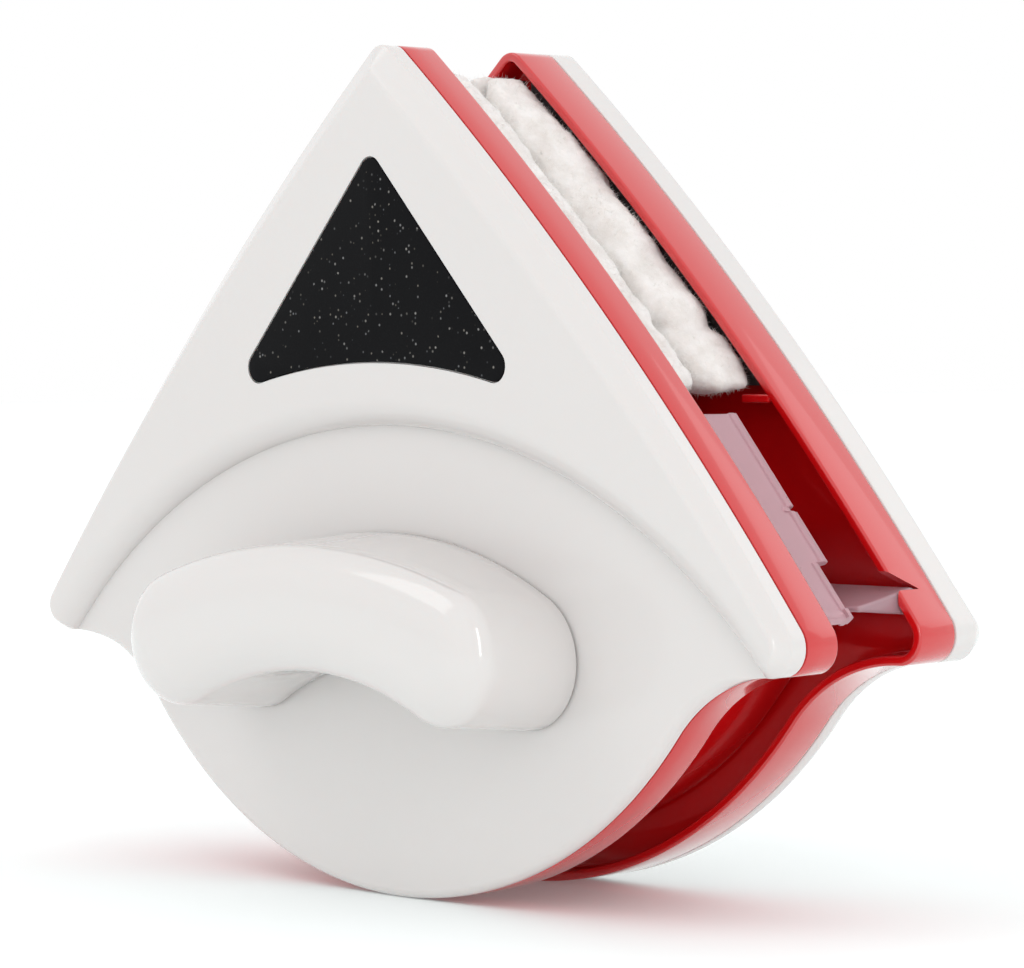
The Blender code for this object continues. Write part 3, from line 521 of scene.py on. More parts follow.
def new_group(name, inputs, outputs):
    """An empty node group with named sockets, given as (name, default) going in and (name, kind) going out."""
    group = bpy.data.node_groups.new(name, "ShaderNodeTree")
    for label, default in inputs:
        kind = "NodeSocketFloat" if isinstance(default, float) else "NodeSocketColor"
        group.interface.new_socket(label, in_out="INPUT", socket_type=kind).default_value = default
    for label, kind in outputs:
        group.interface.new_socket(label, in_out="OUTPUT", socket_type="NodeSocket" + kind)
    return group, group.nodes.new("NodeGroupInput").outputs, group.nodes.new("NodeGroupOutput")


FINISH_OUTPUTS = [("Colour", "Color"), ("Roughness", "Float"), ("Normal", "Vector")]


def moulded_finish():
    """Moulded plastic: slow colour drift, fine roughness mottling and a faint orange-peel normal."""
    inputs = [
        ("Colour", (0.8, 0.8, 0.8, 1.0)),
        ("Drift colour", (0.7, 0.7, 0.7, 1.0)),
        ("Drift", 0.3),
        ("Roughness", 0.2),
        ("Mottle", 0.06),
        ("Peel", 0.1),
    ]
    group, given, end = new_group("moulded_finish", inputs, FINISH_OUTPUTS)
    place = object_place(group)
    slow = noise(group, place, 16.0, 2.0)["Fac"]
    fine = noise(group, place, 900.0, 3.0)["Fac"]
    flow = noise(group, place, 140.0, 2.0, Distortion=0.4)["Fac"]
    drift = worked(group, "MULTIPLY", slow, given["Drift"])
    swing = worked(group, "MULTIPLY", worked(group, "SUBTRACT", fine, 0.5), given["Mottle"])
    fill(
        group,
        end,
        {
            "Colour": blend(group, drift, given["Colour"], given["Drift colour"]),
            "Roughness": worked(group, "ADD", given["Roughness"], swing),
            "Normal": bump(group, flow, given["Peel"], 0.00004),
        },
    )


def fibre_nap():
    """Napped cotton: clumped shade between two colours and a height of fine tangled fibres."""
    inputs = [("Light", (0.9, 0.88, 0.87, 1.0)), ("Shade", (0.7, 0.66, 0.64, 1.0)), ("Fibre scale", 1400.0)]
    group, given, end = new_group("fibre_nap", inputs, [("Colour", "Color"), ("Height", "Float")])
    place = object_place(group)
    clumps = noise(group, place, 260.0, 4.0, Roughness=0.6)
    bent = node(group, "ShaderNodeVectorMath", {0: clumps["Color"], "Scale": 0.012}, operation="SCALE")[0]
    warped = node(group, "ShaderNodeVectorMath", {0: place, 1: bent}, operation="ADD")[0]
    fibres = noise(group, warped, given["Fibre scale"], 5.0, Roughness=0.7)
    shade = ramp(group, clumps["Fac"], 0.35, 0.65)
    colour = blend(group, shade, given["Shade"], given["Light"])
    fill(group, end, {"Colour": colour, "Height": worked(group, "ADD", fibres["Fac"], clumps["Fac"])})


def brushed_metal():
    """Plated or ground metal: fine scratches in the roughness and a slight colour drift."""
    inputs = [("Colour", (0.6, 0.6, 0.6, 1.0)), ("Roughness", 0.3)]
    group, given, end = new_group("brushed_metal", inputs, FINISH_OUTPUTS)
    place = object_place(group)
    stretched = node(group, "ShaderNodeMapping", {"Vector": place, "Scale": (1.0, 1.0, 12.0)})[0]
    lines = noise(group, stretched, 500.0, 4.0)["Fac"]
    swing = worked(group, "MULTIPLY", lines, 0.2)
    fill(
        group,
        end,
        {
            "Colour": blend(group, lines, given["Colour"], (0.75, 0.74, 0.72, 1.0), "MULTIPLY"),
            "Roughness": worked(group, "ADD", swing, given["Roughness"]),
            "Normal": bump(group, lines, 0.15, 0.00002),
        },
    )


def new_material(name):
    """A material with a Principled shader; gives its tree and the shader."""
    material = bpy.data.materials.new(name)
    material.use_nodes = True
    return material.node_tree, material.node_tree.nodes["Principled BSDF"]


def finish(tree, group, values):
    """The shader inputs that a finish's node group feeds."""
    made = node(tree, "ShaderNodeGroup", values, node_tree=bpy.data.node_groups[group])
    return {"Base Color": made["Colour"], "Roughness": made["Roughness"], "Normal": made["Normal"]}


def plastic(name, colour, drift, roughness, coat, subsurface, coat_bend=1.5):
    """Glossy moulded plastic under a thin clear skin; the drift gives each channel's share in a second tone."""
    tree, shader = new_material(name)
    values = {
        "Colour": shaded(colour),
        "Drift colour": shaded(colour, drift),
        "Drift": 0.5,
        "Roughness": roughness,
        "Mottle": 0.05,
        "Peel": 0.10,
    }
    skin = {
        "Coat Weight": coat,
        "Coat Roughness": 0.06,
        "Coat IOR": coat_bend,
        "Subsurface Weight": subsurface,
        "Subsurface Radius": (1.0, 0.6, 0.5),
        "Subsurface Scale": 0.0015,
    }
    fill(tree, shader, {**finish(tree, "moulded_finish", values), **skin})


def speckled_panel(colour):
    """Black panel with fine flakes: small bright cells, some tinted, in a dark satin ground."""
    tree, shader = new_material("speckled_black")
    place = object_place(tree)
    cells = node(tree, "ShaderNodeTexVoronoi", {"Vector": place, "Scale": 1500.0})
    grain = noise(tree, place, 2600.0, 3.0)["Fac"]
    rare = node(tree, "ShaderNodeSeparateColor", {0: cells["Color"]})
    core = ramp(tree, cells["Distance"], 0.42, 0.12)
    flake = worked(tree, "MULTIPLY", ramp(tree, rare[0], 0.86, 1.0), core)
    tint = blend(tree, rare[1], (0.30, 0.26, 0.20, 1.0), (0.22, 0.25, 0.30, 1.0))
    ground = blend(tree, grain, shaded(colour), (0.007, 0.007, 0.0075, 1.0))
    fill(
        tree,
        shader,
        {
            "Base Color": blend(tree, flake, ground, tint),
            "Roughness": ramp(tree, flake, 0.0, 1.0, 0.62, 0.25),
            "Normal": bump(tree, grain, 0.35, 0.00005),
            "Specular IOR Level": 0.06,
        },
    )


def milky_silicone(colour):
    """Milky rubber with painted red light in its pink colour: light passes through and is scattered, with a
    slight streak along the moulding.
    """
    tree, shader = new_material("milky_silicone")
    values = {
        "Colour": shaded(colour),
        "Drift colour": shaded(colour, (0.86, 0.82, 0.85)),
        "Drift": 0.8,
        "Roughness": 0.3,
        "Mottle": 0.1,
        "Peel": 0.25,
    }
    body = {"Transmission Weight": 0.6, "IOR": 1.30, "Coat Weight": 0.3}
    fill(tree, shader, {**finish(tree, "moulded_finish", values), **body})


def cotton_cloth(colour):
    """Napped white cloth with a soft sheen."""
    tree, shader = new_material("cotton_nap")
    values = {"Light": shaded(colour), "Shade": shaded(colour, (0.86, 0.84, 0.82)), "Fibre scale": 1500.0}
    nap = node(tree, "ShaderNodeGroup", values, node_tree=bpy.data.node_groups["fibre_nap"])
    fill(
        tree,
        shader,
        {
            "Base Color": nap["Colour"],
            "Normal": bump(tree, nap["Height"], 0.7, 0.00025),
            "Roughness": 0.95,
            "Sheen Weight": 0.5,
            "Sheen Roughness": 0.5,
            "Subsurface Weight": 0.25,
            "Subsurface Radius": (1.0, 0.8, 0.7),
            "Subsurface Scale": 0.002,
        },
    )


def loose_fibre(colour):
    """Single loose cotton fibres: dull, pale and even but for a slow change of shade."""
    tree, shader = new_material("cotton_fibre")
    slow = noise(tree, object_place(tree), 300.0, 2.0)["Fac"]
    pale = blend(tree, slow, shaded(colour), (1.0, 0.98, 0.96, 1.0))
    fill(tree, shader, {"Base Color": pale, "Roughness": 1.0, "Specular IOR Level": 0.1})


def hook_tape():
    """Dark hook tape: rows of small hooks as a dotted height and shade."""
    tree, shader = new_material("woven_hooks")
    inputs = {"Vector": object_place(tree), "Scale": 900.0, "Randomness": 0.35}
    hooks = node(tree, "ShaderNodeTexVoronoi", inputs)["Distance"]
    dots = blend(tree, ramp(tree, hooks, 0.1, 0.6), (0.11, 0.11, 0.11, 1.0), (0.03, 0.03, 0.03, 1.0))
    raised = bump(tree, hooks, 1.0, 0.0003, invert=True)
    fill(tree, shader, {"Base Color": dots, "Normal": raised, "Roughness": 0.8})


def metal(name, colour, roughness):
    """Bare or plated metal."""
    tree, shader = new_material(name)
    values = {"Colour": shaded(colour), "Roughness": roughness}
    fill(tree, shader, {**finish(tree, "brushed_metal", values), "Metallic": 1.0})


def make_materials():
    """The node groups, then every material of the wiper."""
    colours = bpy.context.scene.wiper_colours
    moulded_finish()
    fibre_nap()
    brushed_metal()
    plastic("glossy_white", colours.white, (0.96, 0.955, 0.95), 0.22, 0.5, 0.15)
    plastic("white_grip", colours.white, (0.97, 0.965, 0.955), 0.14, 0.8, 0.15)
    plastic("glossy_red", colours.red, (0.85, 0.6, 0.6), 0.22, 1.0, 0.0, 1.55)
    speckled_panel(colours.black)
    # The silicone colour carries painted red light: its pink stands in for light from the red frame behind the
    # blades.
    milky_silicone(colours.silicone)
    cotton_cloth(colours.cotton)
    loose_fibre(colours.cotton)
    hook_tape()
    metal("plain_steel", (0.55, 0.56, 0.57), 0.25)
    metal("nickel_plate", (0.66, 0.64, 0.60), 0.12)


# ---------------------------------------------------------------- cover and inlay

INLAY_TOP_DROP = 0.0171
INLAY_CORNER = (0.0336, 0.0850)
INLAY_TO_CREASE = 0.0104
INLAY_RADIUS = 0.0025
INLAY_CORNER_STEPS = 24
INLAY_BASE_STEPS = 32
INLAY_GAP = 0.00022
INLAY_SINK = 0.0008
INLAY_DROP = 0.00003
CHAMFER_FILLET = 0.24
LIP_SHARE = 0.04
LIP_DROP = 0.045
RIDGE_BLEND = 0.0003
TRIANGLE_ROWS = 92
DISH_FADE = 0.012
DISH_ROWS = 26
EDGE_ROUND = 0.0002
EDGE_CUT = 0.00006
WALL_SHARES = (0.15, 0.5, 0.9)


def inlay_outline(inset=0.0):
    """Closed outline of the black panel: a tip arc, straight sides, corner arcs, and a hollow base.

    The base is an arc round the crease's centre. The tip's arc touches both sides, and a corner's arc
    touches its side and the base."""
    shape = bpy.context.scene.wiper_shape
    base = crease_centre()
    base_radius = shape.crease_radius + INLAY_TO_CREASE + inset
    top = np.array([0.0, HEIGHT - INLAY_TOP_DROP])
    low = np.array(INLAY_CORNER)
    side = (low - top) / np.hypot(*(low - top))
    outward = np.array([-side[1], side[0]])
    radius = max(INLAY_RADIUS - inset, LEAST_RADIUS)
    top = top - outward * inset
    tip = top[1] - side[1] * top[0] / side[0]
    tip_centre = np.array([0.0, tip - radius / math.sin(math.atan2(side[0], -side[1]))])
    level = low - outward * (inset + radius)
    local = level - base
    along = local @ side
    corner = level + side * (-along - math.sqrt(along**2 - local @ local + (base_radius + radius) ** 2))
    side_turn = math.degrees(math.atan2(outward[1], outward[0]))
    base_turn = direction(base, corner)
    tip_arc = arc(tip_centre, radius, 90.0, side_turn, APEX_STEPS)
    corner_arc = arc(corner, radius, side_turn, base_turn - 180.0, INLAY_CORNER_STEPS)
    bottom = arc(base, base_radius, base_turn, 90.0, INLAY_BASE_STEPS)[1:]
    return closed_outline(np.concatenate([tip_arc, corner_arc, bottom]))


def distance_to(points, line):
    """Distance from each point to a line of straight stretches: the least over the nearest points of each."""
    start = line[:-1][None]
    span = np.diff(line, axis=0)[None]
    gap = points[:, None] - start
    share = np.clip((gap * span).sum(2) / (span * span).sum(2), 0, 1)
    return np.hypot(*np.moveaxis(gap - span * share[..., None], 2, 0)).min(1)


def triangle_depth(points):
    """Depth of the raised triangle at points of the glass plane: the lower of two rises, blended together.

    From the edge it rises in a straight slope whose inner end is rounded by a parabola and whose outermost
    part drops a little more; the slope grows wider from the corner to the apex. From the crease it rises as
    a quarter ellipse."""
    shape = bpy.context.scene.wiper_shape
    up = np.clip((points[:, 1] - shape.corner_height) / (HEIGHT - shape.corner_height), 0, 1)
    width = shape.chamfer_corner + (shape.chamfer_apex - shape.chamfer_corner) * up
    share = distance_to(points, upper_edge()) / width
    rounded = np.clip(1 + CHAMFER_FILLET - share, 0, None) ** 2 / (4 * CHAMFER_FILLET)
    fall = np.where(share < 1 - CHAMFER_FILLET, 1 - share, rounded)
    fall += LIP_DROP * np.clip(1 - share / LIP_SHARE, 0, 1)
    from_edge = FACE_DEPTH - shape.chamfer_height * fall
    away = np.hypot(*(points - crease_centre()).T) - shape.crease_radius
    left = 1 - np.clip(away / shape.crease_roll, 0, 1)
    from_crease = FACE_DEPTH - shape.dish_drop * (1 - np.sqrt(1 - left * left))
    mix = np.clip(0.5 + (from_crease - from_edge) / (2 * RIDGE_BLEND), 0, 1)
    return from_crease * (1 - mix) + from_edge * mix - RIDGE_BLEND * mix * (1 - mix)


def raised_triangle():
    """Grid of the raised triangle: each column runs straight from a point of the edge to one of the crease.

    Half a cosine wave spaces the rows, so that they lie close together at both ends."""
    edge = upper_edge()
    crease = crease_line()[::-1]
    rows = []
    for share in (1 - np.cos(np.linspace(0.0, math.pi, TRIANGLE_ROWS))) / 2:
        points = edge * (1 - share) + crease * share
        rows.append(at_depth(points, triangle_depth(points)))
    rows = np.array(rows)
    rows[-1, :, 1] = bpy.context.scene.wiper_shape.dish_drop - FACE_DEPTH
    return rows


def dish():
    """Grid of the dish below the crease, from the lobe's rounded edge up to the crease.

    Near the edge the rows are the outline moved in along a quarter circle; that rounding fades to nothing
    at the crease's two ends, where the dish meets the triangle. The rest runs straight to the crease."""
    shape = bpy.context.scene.wiper_shape
    valley = FACE_DEPTH - shape.dish_drop
    outer = lower_edge()
    run = np.concatenate([[0.0], np.cumsum(np.hypot(*np.diff(outer, axis=0).T))])
    fade = np.clip(np.minimum(run, run[-1] - run) / DISH_FADE, 0, 1)
    fade = fade * fade * (3 - 2 * fade)
    rows = []
    for inward, short in quarter(9):
        moved = lower_edge(shape.dish_edge * inward)
        ring = outer * (1 - fade[:, None]) + moved * fade[:, None]
        rows.append(at_depth(ring, valley - shape.dish_edge * short * fade))
    crease = at_depth(crease_line(), valley)
    for share in np.linspace(0.0, 1.0, DISH_ROWS)[1:]:
        rows.append(rows[8] * (1 - share) + crease * share)
    return np.array(rows)


def back_edge(depth, way):
    """Rows that round the outline's edge on a back face; the wall leaves it to the glass for -1, away for 1."""
    return [
        at_depth(whole_outline(EDGE_ROUND), depth),
        at_depth(whole_outline(EDGE_CUT), depth + way * EDGE_CUT),
        at_depth(whole_outline(), depth + way * EDGE_ROUND),
    ]


def make_cover():
    """White cover: triangle, dish, side wall and flat back as one closed surface, less the panel's recess."""
    triangle = raised_triangle()
    low = dish()
    rim = triangle[0]
    half = len(rim) // 2
    top = np.concatenate([rim[half:], low[0, 1:-1], rim[:half]])
    back = back_edge(COVER_BACK, 1)[::-1]
    wall = [top]
    for share in WALL_SHARES:
        row = top.copy()
        row[:, 1] = top[:, 1] * (1 - share) + back[0][:, 1] * share
        wall.append(row)
    sheets = [sheet(triangle, False), sheet(low, False), sheet(wall + back)]
    cover = mesh_piece("near_cover_shell_finished", sheets)
    edge = inlay_outline(-INLAY_GAP)
    recess = [at_depth(edge, depth) for depth in (FACE_DEPTH - INLAY_SINK, FACE_DEPTH + 0.001)]
    return cut_by(cover, mesh_piece("recess_cutter", [sheet(recess)]))


def make_inlay():
    """Black panel with a small round edge, standing level with the face."""
    top = FACE_DEPTH - INLAY_DROP
    foot = FACE_DEPTH - INLAY_SINK + 0.0001
    steps = ((0.0003, top), (0.0001, top - 0.00006), (0.0, top - 0.00025), (0.0, foot))
    rows = [at_depth(inlay_outline(inset), depth) for inset, depth in steps]
    return mesh_piece("near_front_inlay_finished", [sheet(rows)], 50.0)


# ---------------------------------------------------------------- grip

GRIP_END_X = 0.0322
GRIP_END_RADIUS = 0.0112
GRIP_MIDDLE_DROP = 0.0034
GRIP_BASE = (-0.0009, 0.0185, -0.0032)
GRIP_FRONT = (0.0008, 0.0173, -0.0032)
GRIP_ROUND_IN = 0.0086
GRIP_ROUND_DEEP = 0.0056
GRIP_FOOT_ROUND = 0.0004


def bean(inset, share):
    """Closed outline of the grip at a share of the way from its foot to its front.

    A long arc on top, two round ends and a hollow arc underneath; each arc's radius follows from the
    rise or fall between the end's centre and the middle."""
    middle = bpy.context.scene.wiper_shape.corner_height - GRIP_MIDDLE_DROP
    heights = middle + np.array(GRIP_BASE) + (np.array(GRIP_FRONT) - np.array(GRIP_BASE)) * share
    end_z, top, hollow = heights
    end = np.array([GRIP_END_X, end_z])
    rise = top - end_z
    top_radius = (GRIP_END_X**2 + rise**2 - GRIP_END_RADIUS**2) / (2 * (rise - GRIP_END_RADIUS))
    fall = end_z - hollow
    low_radius = (GRIP_END_X**2 + fall**2 - GRIP_END_RADIUS**2) / (2 * (GRIP_END_RADIUS - fall))
    crown = np.array([0.0, top - top_radius])
    cup = np.array([0.0, hollow - low_radius])
    crown_turn = direction(crown, end)
    cup_turn = direction(cup, end)
    right = [
        arc(crown, top_radius - inset, 90.0, crown_turn, 32),
        arc(end, GRIP_END_RADIUS - inset, crown_turn, cup_turn - 180.0, 40)[1:],
        arc(cup, low_radius + inset, cup_turn, 90.0, 28)[1:],
    ]
    return closed_outline(np.concatenate(right))


def make_grip():
    """Finger grip: straight drafted sides, a front edge rounded as a quarter ellipse, and a flat front."""
    foot = GRIP_FOOT + GRIP_FOOT_ROUND
    straight = GRIP_FACE - GRIP_ROUND_DEEP
    rows = [at_depth(bean(0.0003, 0.0), GRIP_FOOT), at_depth(bean(0.0001, 0.0), GRIP_FOOT + 0.00012)]
    for share in np.linspace(0.0, 1.0, 8):
        rows.append(at_depth(bean(0.0, share), foot + (straight - foot) * share))
    for inward, short in list(quarter(20))[1:]:
        rows.append(at_depth(bean(GRIP_ROUND_IN * inward, 1.0), GRIP_FACE - GRIP_ROUND_DEEP * short))
    return mesh_piece("near_grip_finished", [sheet(rows)], 50.0)


# ---------------------------------------------------------------- red frame

RIM_ROUND = 0.00045
FLOOR_ROUND = 0.0007
BLADE_Z = 0.0501
BULB_RADIUS = 0.0021
BOTTOM_ROD_DEPTH = 0.0126
SEAT_FLARE = 30.0
SIDE_ROD_DEPTH = 0.0128
SIDE_LOW_Z = 0.0478
SIDE_HIGH_Z = 0.0788
SIDE_BLADE_INSET = 0.0034
CLEARANCE = 0.0003
LUG_LENGTH = 0.0025
LUG_SIZE = 0.0040
PAD_LOW = 0.0822
STOP_THICKNESS = 0.0014
STOP_REACH = 0.0060


def make_frame():
    """Red tray: an outer wall, a rounded rim, and an inner wall that runs into the floor by a small hollow."""
    shape = bpy.context.scene.wiper_shape
    floor = FRAME_BACK - shape.floor_thickness
    rim = shape.rim_depth
    rows = back_edge(FRAME_BACK, -1)
    rows.append(at_depth(whole_outline(), (FRAME_BACK + rim) / 2))
    for inward, short in quarter(6):
        rows.append(at_depth(whole_outline(RIM_ROUND * inward), rim + RIM_ROUND * short))
    for inward, short in quarter(6):
        rows.append(at_depth(whole_outline(shape.wall - RIM_ROUND * short), rim + RIM_ROUND * inward))
    for inward, short in quarter(6):
        rows.append(at_depth(whole_outline(shape.wall + FLOOR_ROUND * inward), floor - FLOOR_ROUND * short))
    tray = mesh_piece("near_base_frame_finished", [sheet(rows)], 50.0)
    return join_into(cut_by(tray, seat_cutter()), frame_blocks(floor + CLEARANCE))


def seat_cutter():
    """A bar for the notch in the wall: round under the blade's bulb, its sides opening towards the glass."""
    section = arc((0.0, 0.0), BULB_RADIUS + CLEARANCE, 180.0 + SEAT_FLARE, 360.0 - SEAT_FLARE, 20)
    mouth = BOTTOM_ROD_DEPTH
    half = section[-1, 0] + (mouth - section[-1, 1]) * math.tan(math.radians(SEAT_FLARE))
    section = np.concatenate([section, [[half, mouth], [-half, mouth]]])
    along = (BLADE_LOW[0] - CLEARANCE, BLADE_HIGH[0] + CLEARANCE)
    rows = [bar_row(section, x) for x in along]
    return mesh_piece("seat_cutter", [sheet(rows)])


def bar_row(section, x):
    """A blade's section, across and up to the glass, set square to X at the bottom blade's rod."""
    return np.stack([np.full(len(section), x), section[:, 1] - BOTTOM_ROD_DEPTH, BLADE_Z - section[:, 0]], 1)


def side_blade_ends():
    """Ends of the side blade's axis, low end first."""
    return [Vector((side_x(z, SIDE_BLADE_INSET), -SIDE_ROD_DEPTH, z)) for z in (SIDE_LOW_Z, SIDE_HIGH_Z)]


def side_turn():
    """Turns x outwards, y to the glass and z along the side blade."""
    low, high = side_blade_ends()
    along = (high - low).normalized()
    outward = Vector((along.z, 0.0, -along.x))
    return Matrix((outward, (0.0, 1.0, 0.0), along)).transposed().to_4x4()


def frame_blocks(foot):
    """The pad stops and the blades' lugs, as small rounded blocks that stand in the tray's floor."""
    shape = bpy.context.scene.wiper_shape
    blocks = []
    height = foot - shape.rim_depth
    across = side_x(PAD_LOW, shape.wall / 2) - STOP_REACH / 2
    for x in (-across, across):
        centre = (x, height / 2 - foot, PAD_LOW - CLEARANCE - STOP_THICKNESS / 2)
        blocks.append(rounded_block("pad_stop", centre, (STOP_REACH, height, STOP_THICKNESS)))
    low, high = side_blade_ends()
    along = (high - low).normalized()
    beyond = CLEARANCE + LUG_LENGTH / 2
    height = foot - (SIDE_ROD_DEPTH - LUG_SIZE / 2)
    for point, way in ((high, along), (low, -along)):
        centre = point + way * beyond
        centre.y = height / 2 - foot
        blocks.append(rounded_block("side_lug", centre, (LUG_SIZE, height, LUG_LENGTH), side_turn()))
    height = foot - (BOTTOM_ROD_DEPTH - LUG_SIZE / 2)
    centre = (BLADE_HIGH[0] + beyond, height / 2 - foot, BLADE_Z)
    blocks.append(rounded_block("bottom_lug", centre, (LUG_LENGTH, height, LUG_SIZE)))
    return blocks


# ---------------------------------------------------------------- blades

BLADE_LEAN = 0.0008
BLADE_LIP = 0.00045
BULB_OPENING = 12.0
FLANK_POWER = 1.12
BOTTOM_GAP = 0.0005
BLADE_END = np.array([0.0, 0.00012, 0.0004])
STRIP_HALF = 0.0006
BEAD_RADIUS = 0.0016
STEP_LENGTH = 0.0108
SIDE_PROUD = 0.0020
SIDE_GAP = 0.0004
NOTCH_HALF = 0.0005
NOTCH_DEPTH = 0.0012
STRIP_LEVELS = np.array([0.30, 0.60, 0.84, 0.86, 0.93, 0.95])
STRIP_WIDTHS = np.array([1.0, 0.8, 0.75, 1.15, 1.15, 0.8])
TIP_WIDTHS = np.array([0.75, 0.4, 0.0, -0.4, -0.75])
TIP_DROPS = np.array([0.00015, 0.00003, 0.0, 0.00003, 0.00015])


def blade_section(reach):
    """Teardrop section: a round bulb, flanks that run almost straight to a thin lip, and a round lip.

    The whole section leans: each point moves down by a share of the lean that grows evenly to the lip."""
    bulb = arc((0.0, 0.0), BULB_RADIUS, 180.0 - BULB_OPENING, 360.0 + BULB_OPENING, 28)
    share = np.linspace(0.0, 1.0, 24)[1:-1]
    across = BLADE_LIP + (bulb[-1, 0] - BLADE_LIP) * (1 - share) ** FLANK_POWER
    flank = np.stack([across, bulb[-1, 1] + (reach - BLADE_LIP - bulb[-1, 1]) * share], 1)
    tip = arc((0.0, reach - BLADE_LIP), BLADE_LIP, 0.0, 180.0, 8)
    section = np.concatenate([bulb, flank, tip, mirrored(flank)])
    section[:, 0] += BLADE_LEAN * np.clip(section[:, 1] / reach, 0, 1)
    return section


def shrunk(section, amount):
    """A closed section moved in by an amount along its own normals."""
    ahead = np.roll(section, -1, 0) - np.roll(section, 1, 0)
    normal = np.stack([ahead[:, 1], -ahead[:, 0]], 1)
    normal /= np.hypot(*normal.T)[:, None]
    return section - normal * amount


def make_bottom_blade():
    """Milky teardrop blade along X: its section carried straight, with two slight sine waves along the lip.

    Both ends are drawn in a little, and the waves fade with the square of the way down to the bulb."""
    reach = BOTTOM_ROD_DEPTH - BOTTOM_GAP
    base = blade_section(reach)
    near_lip = np.clip(base[:, 1] / reach, 0, 1) ** 2
    left, right = BLADE_LOW[0], BLADE_HIGH[0]
    middle = np.linspace(left + 0.001, right - 0.001, 90)
    places = np.concatenate([left + BLADE_END, middle, right - BLADE_END[::-1]])
    drawn = np.concatenate([BLADE_END[::-1], np.zeros(len(middle)), BLADE_END])
    rows = []
    for x, amount in zip(places, drawn):
        row = bar_row(shrunk(base, amount), x)
        row[:, 2] += (0.00012 * np.sin(x * 210.0) + 0.00007 * np.sin(x * 590.0 + 1.0)) * near_lip
        rows.append(row)
    return mesh_piece("near_bottom_blade_finished", [sheet(rows)], 50.0)


def make_side_blade():
    """Thin strip blade along the lower side: a round bead and a flat strip with a raised border.

    The lip has a step and a notch. Two sections stand close together at each of their sides."""
    low, high = side_blade_ends()
    run = (high - low).length
    full = SIDE_ROD_DEPTH + SIDE_PROUD
    notch = run / 2 + 0.001
    fine = 0.00008
    sides = (STEP_LENGTH, notch - NOTCH_HALF, notch + NOTCH_HALF)
    steps = [place + way for place in sides for way in (-fine, fine)]
    plain = [0.0015, 0.0016, 0.004, 0.007, STEP_LENGTH + 0.0006, 0.0165, 0.022, 0.028, 0.034]
    places = np.sort([0.0, 0.0002, 0.0006, *plain, *steps, run - 0.0006, run - 0.0002, run])
    reach = np.where(places < STEP_LENGTH, SIDE_ROD_DEPTH - SIDE_GAP, full)
    reach = np.where(np.abs(places - notch) < NOTCH_HALF, full - NOTCH_DEPTH, reach)
    half = np.where(places < 0.00155, STRIP_HALF * 1.9, STRIP_HALF)
    start = math.degrees(math.acos(STRIP_HALF / BEAD_RADIUS))
    bead = arc((0.0, 0.0), BEAD_RADIUS, 180.0 - start, 360.0 + start, 20)
    rows = []
    for place, tall, thick in zip(places, reach, half):
        drawn = max(0.0, 0.0002 - min(place, run - place)) * 0.8
        flank = np.stack([thick * STRIP_WIDTHS - drawn, BEAD_RADIUS + (tall - BEAD_RADIUS) * STRIP_LEVELS], 1)
        tip = np.stack([thick * TIP_WIDTHS, tall - TIP_DROPS], 1)
        section = np.concatenate([bead * (1 - drawn / BEAD_RADIUS), flank, tip, mirrored(flank)])
        rows.append(np.column_stack([section, np.full(len(section), place)]))
    turn = np.array(Matrix.Translation(low) @ side_turn())
    placed = np.array(rows) @ turn[:3, :3].T + turn[:3, 3]
    return mesh_piece("near_side_blade_finished", [sheet(placed)], 35.0)


# ---------------------------------------------------------------- cotton pads

GLASS_GAP = 0.0002
SIM_FRAMES = 20
SWELL_LIMIT = 0.0022
LUMPS = ((0.00042, 0.016), (0.00022, 0.006), (0.00009, 0.0022), (0.00005, 0.0011))
WRINKLE_Z = 0.0936
WRINKLE_SLANT = 0.12
WRINKLE_DEPTH = 0.0009
WRINKLE_WIDTH = 0.0014
FIBRE_COUNT = 5200
FIBRE_LENGTH = 0.0009
FIBRE_WIDTH = 0.00003
FIBRE_RINGS = ((-0.1, 1.0), (0.35, 0.8), (0.7, 0.5))


def pad_source(side):
    """A copy of the CAD pad, rebuilt at an even 1.2 mm and drawn in a little before it swells."""
    obj = merged_copy("near_cotton_pad_" + side)
    remesh = obj.modifiers.new("even_cells", "REMESH")
    remesh.mode = "VOXEL"
    remesh.voxel_size = 0.0012
    soften = obj.modifiers.new("soften", "SMOOTH")
    soften.iterations = 14
    soften.factor = 0.5
    apply_all(obj)
    return obj


def swell(obj):
    """Fills the pad by a short cloth simulation under pressure, and limits how far any point travels."""
    before = points_of(obj.data).astype(float)
    cloth = obj.modifiers.new("filling", "CLOTH")
    cloth.settings.use_pressure = True
    cloth.settings.uniform_pressure_force = 4.0
    cloth.settings.effector_weights.gravity = 0.0
    cloth.settings.tension_stiffness = 8.0
    cloth.settings.compression_stiffness = 4.0
    cloth.settings.bending_stiffness = 0.2
    cloth.settings.mass = 0.2
    scene = bpy.context.scene
    for number in range(1, SIM_FRAMES + 1):
        scene.frame_set(number)
    evaluated = obj.evaluated_get(bpy.context.evaluated_depsgraph_get())
    travel = points_of(evaluated.to_mesh()).astype(float) - before
    evaluated.to_mesh_clear()
    obj.modifiers.clear()
    scene.frame_set(1)
    far = np.linalg.norm(travel, axis=1)
    travel *= np.minimum(1.0, SWELL_LIMIT / np.maximum(far, 1e-9))[:, None]
    move_points(obj.data, before + travel)


def wavy(points, seed, scale):
    """Smooth seeded noise between about -1 and 1: eight sine waves of random direction and phase, added."""
    source = np.random.default_rng(seed)
    ways = source.normal(size=(8, 3))
    ways *= (source.uniform(0.6, 1.6, 8) / np.linalg.norm(ways, axis=1))[:, None]
    phases = source.uniform(0, 2 * math.pi, 8)
    return np.sin(points @ ways.T * (2 * math.pi / scale) + phases).mean(1) * 2.0


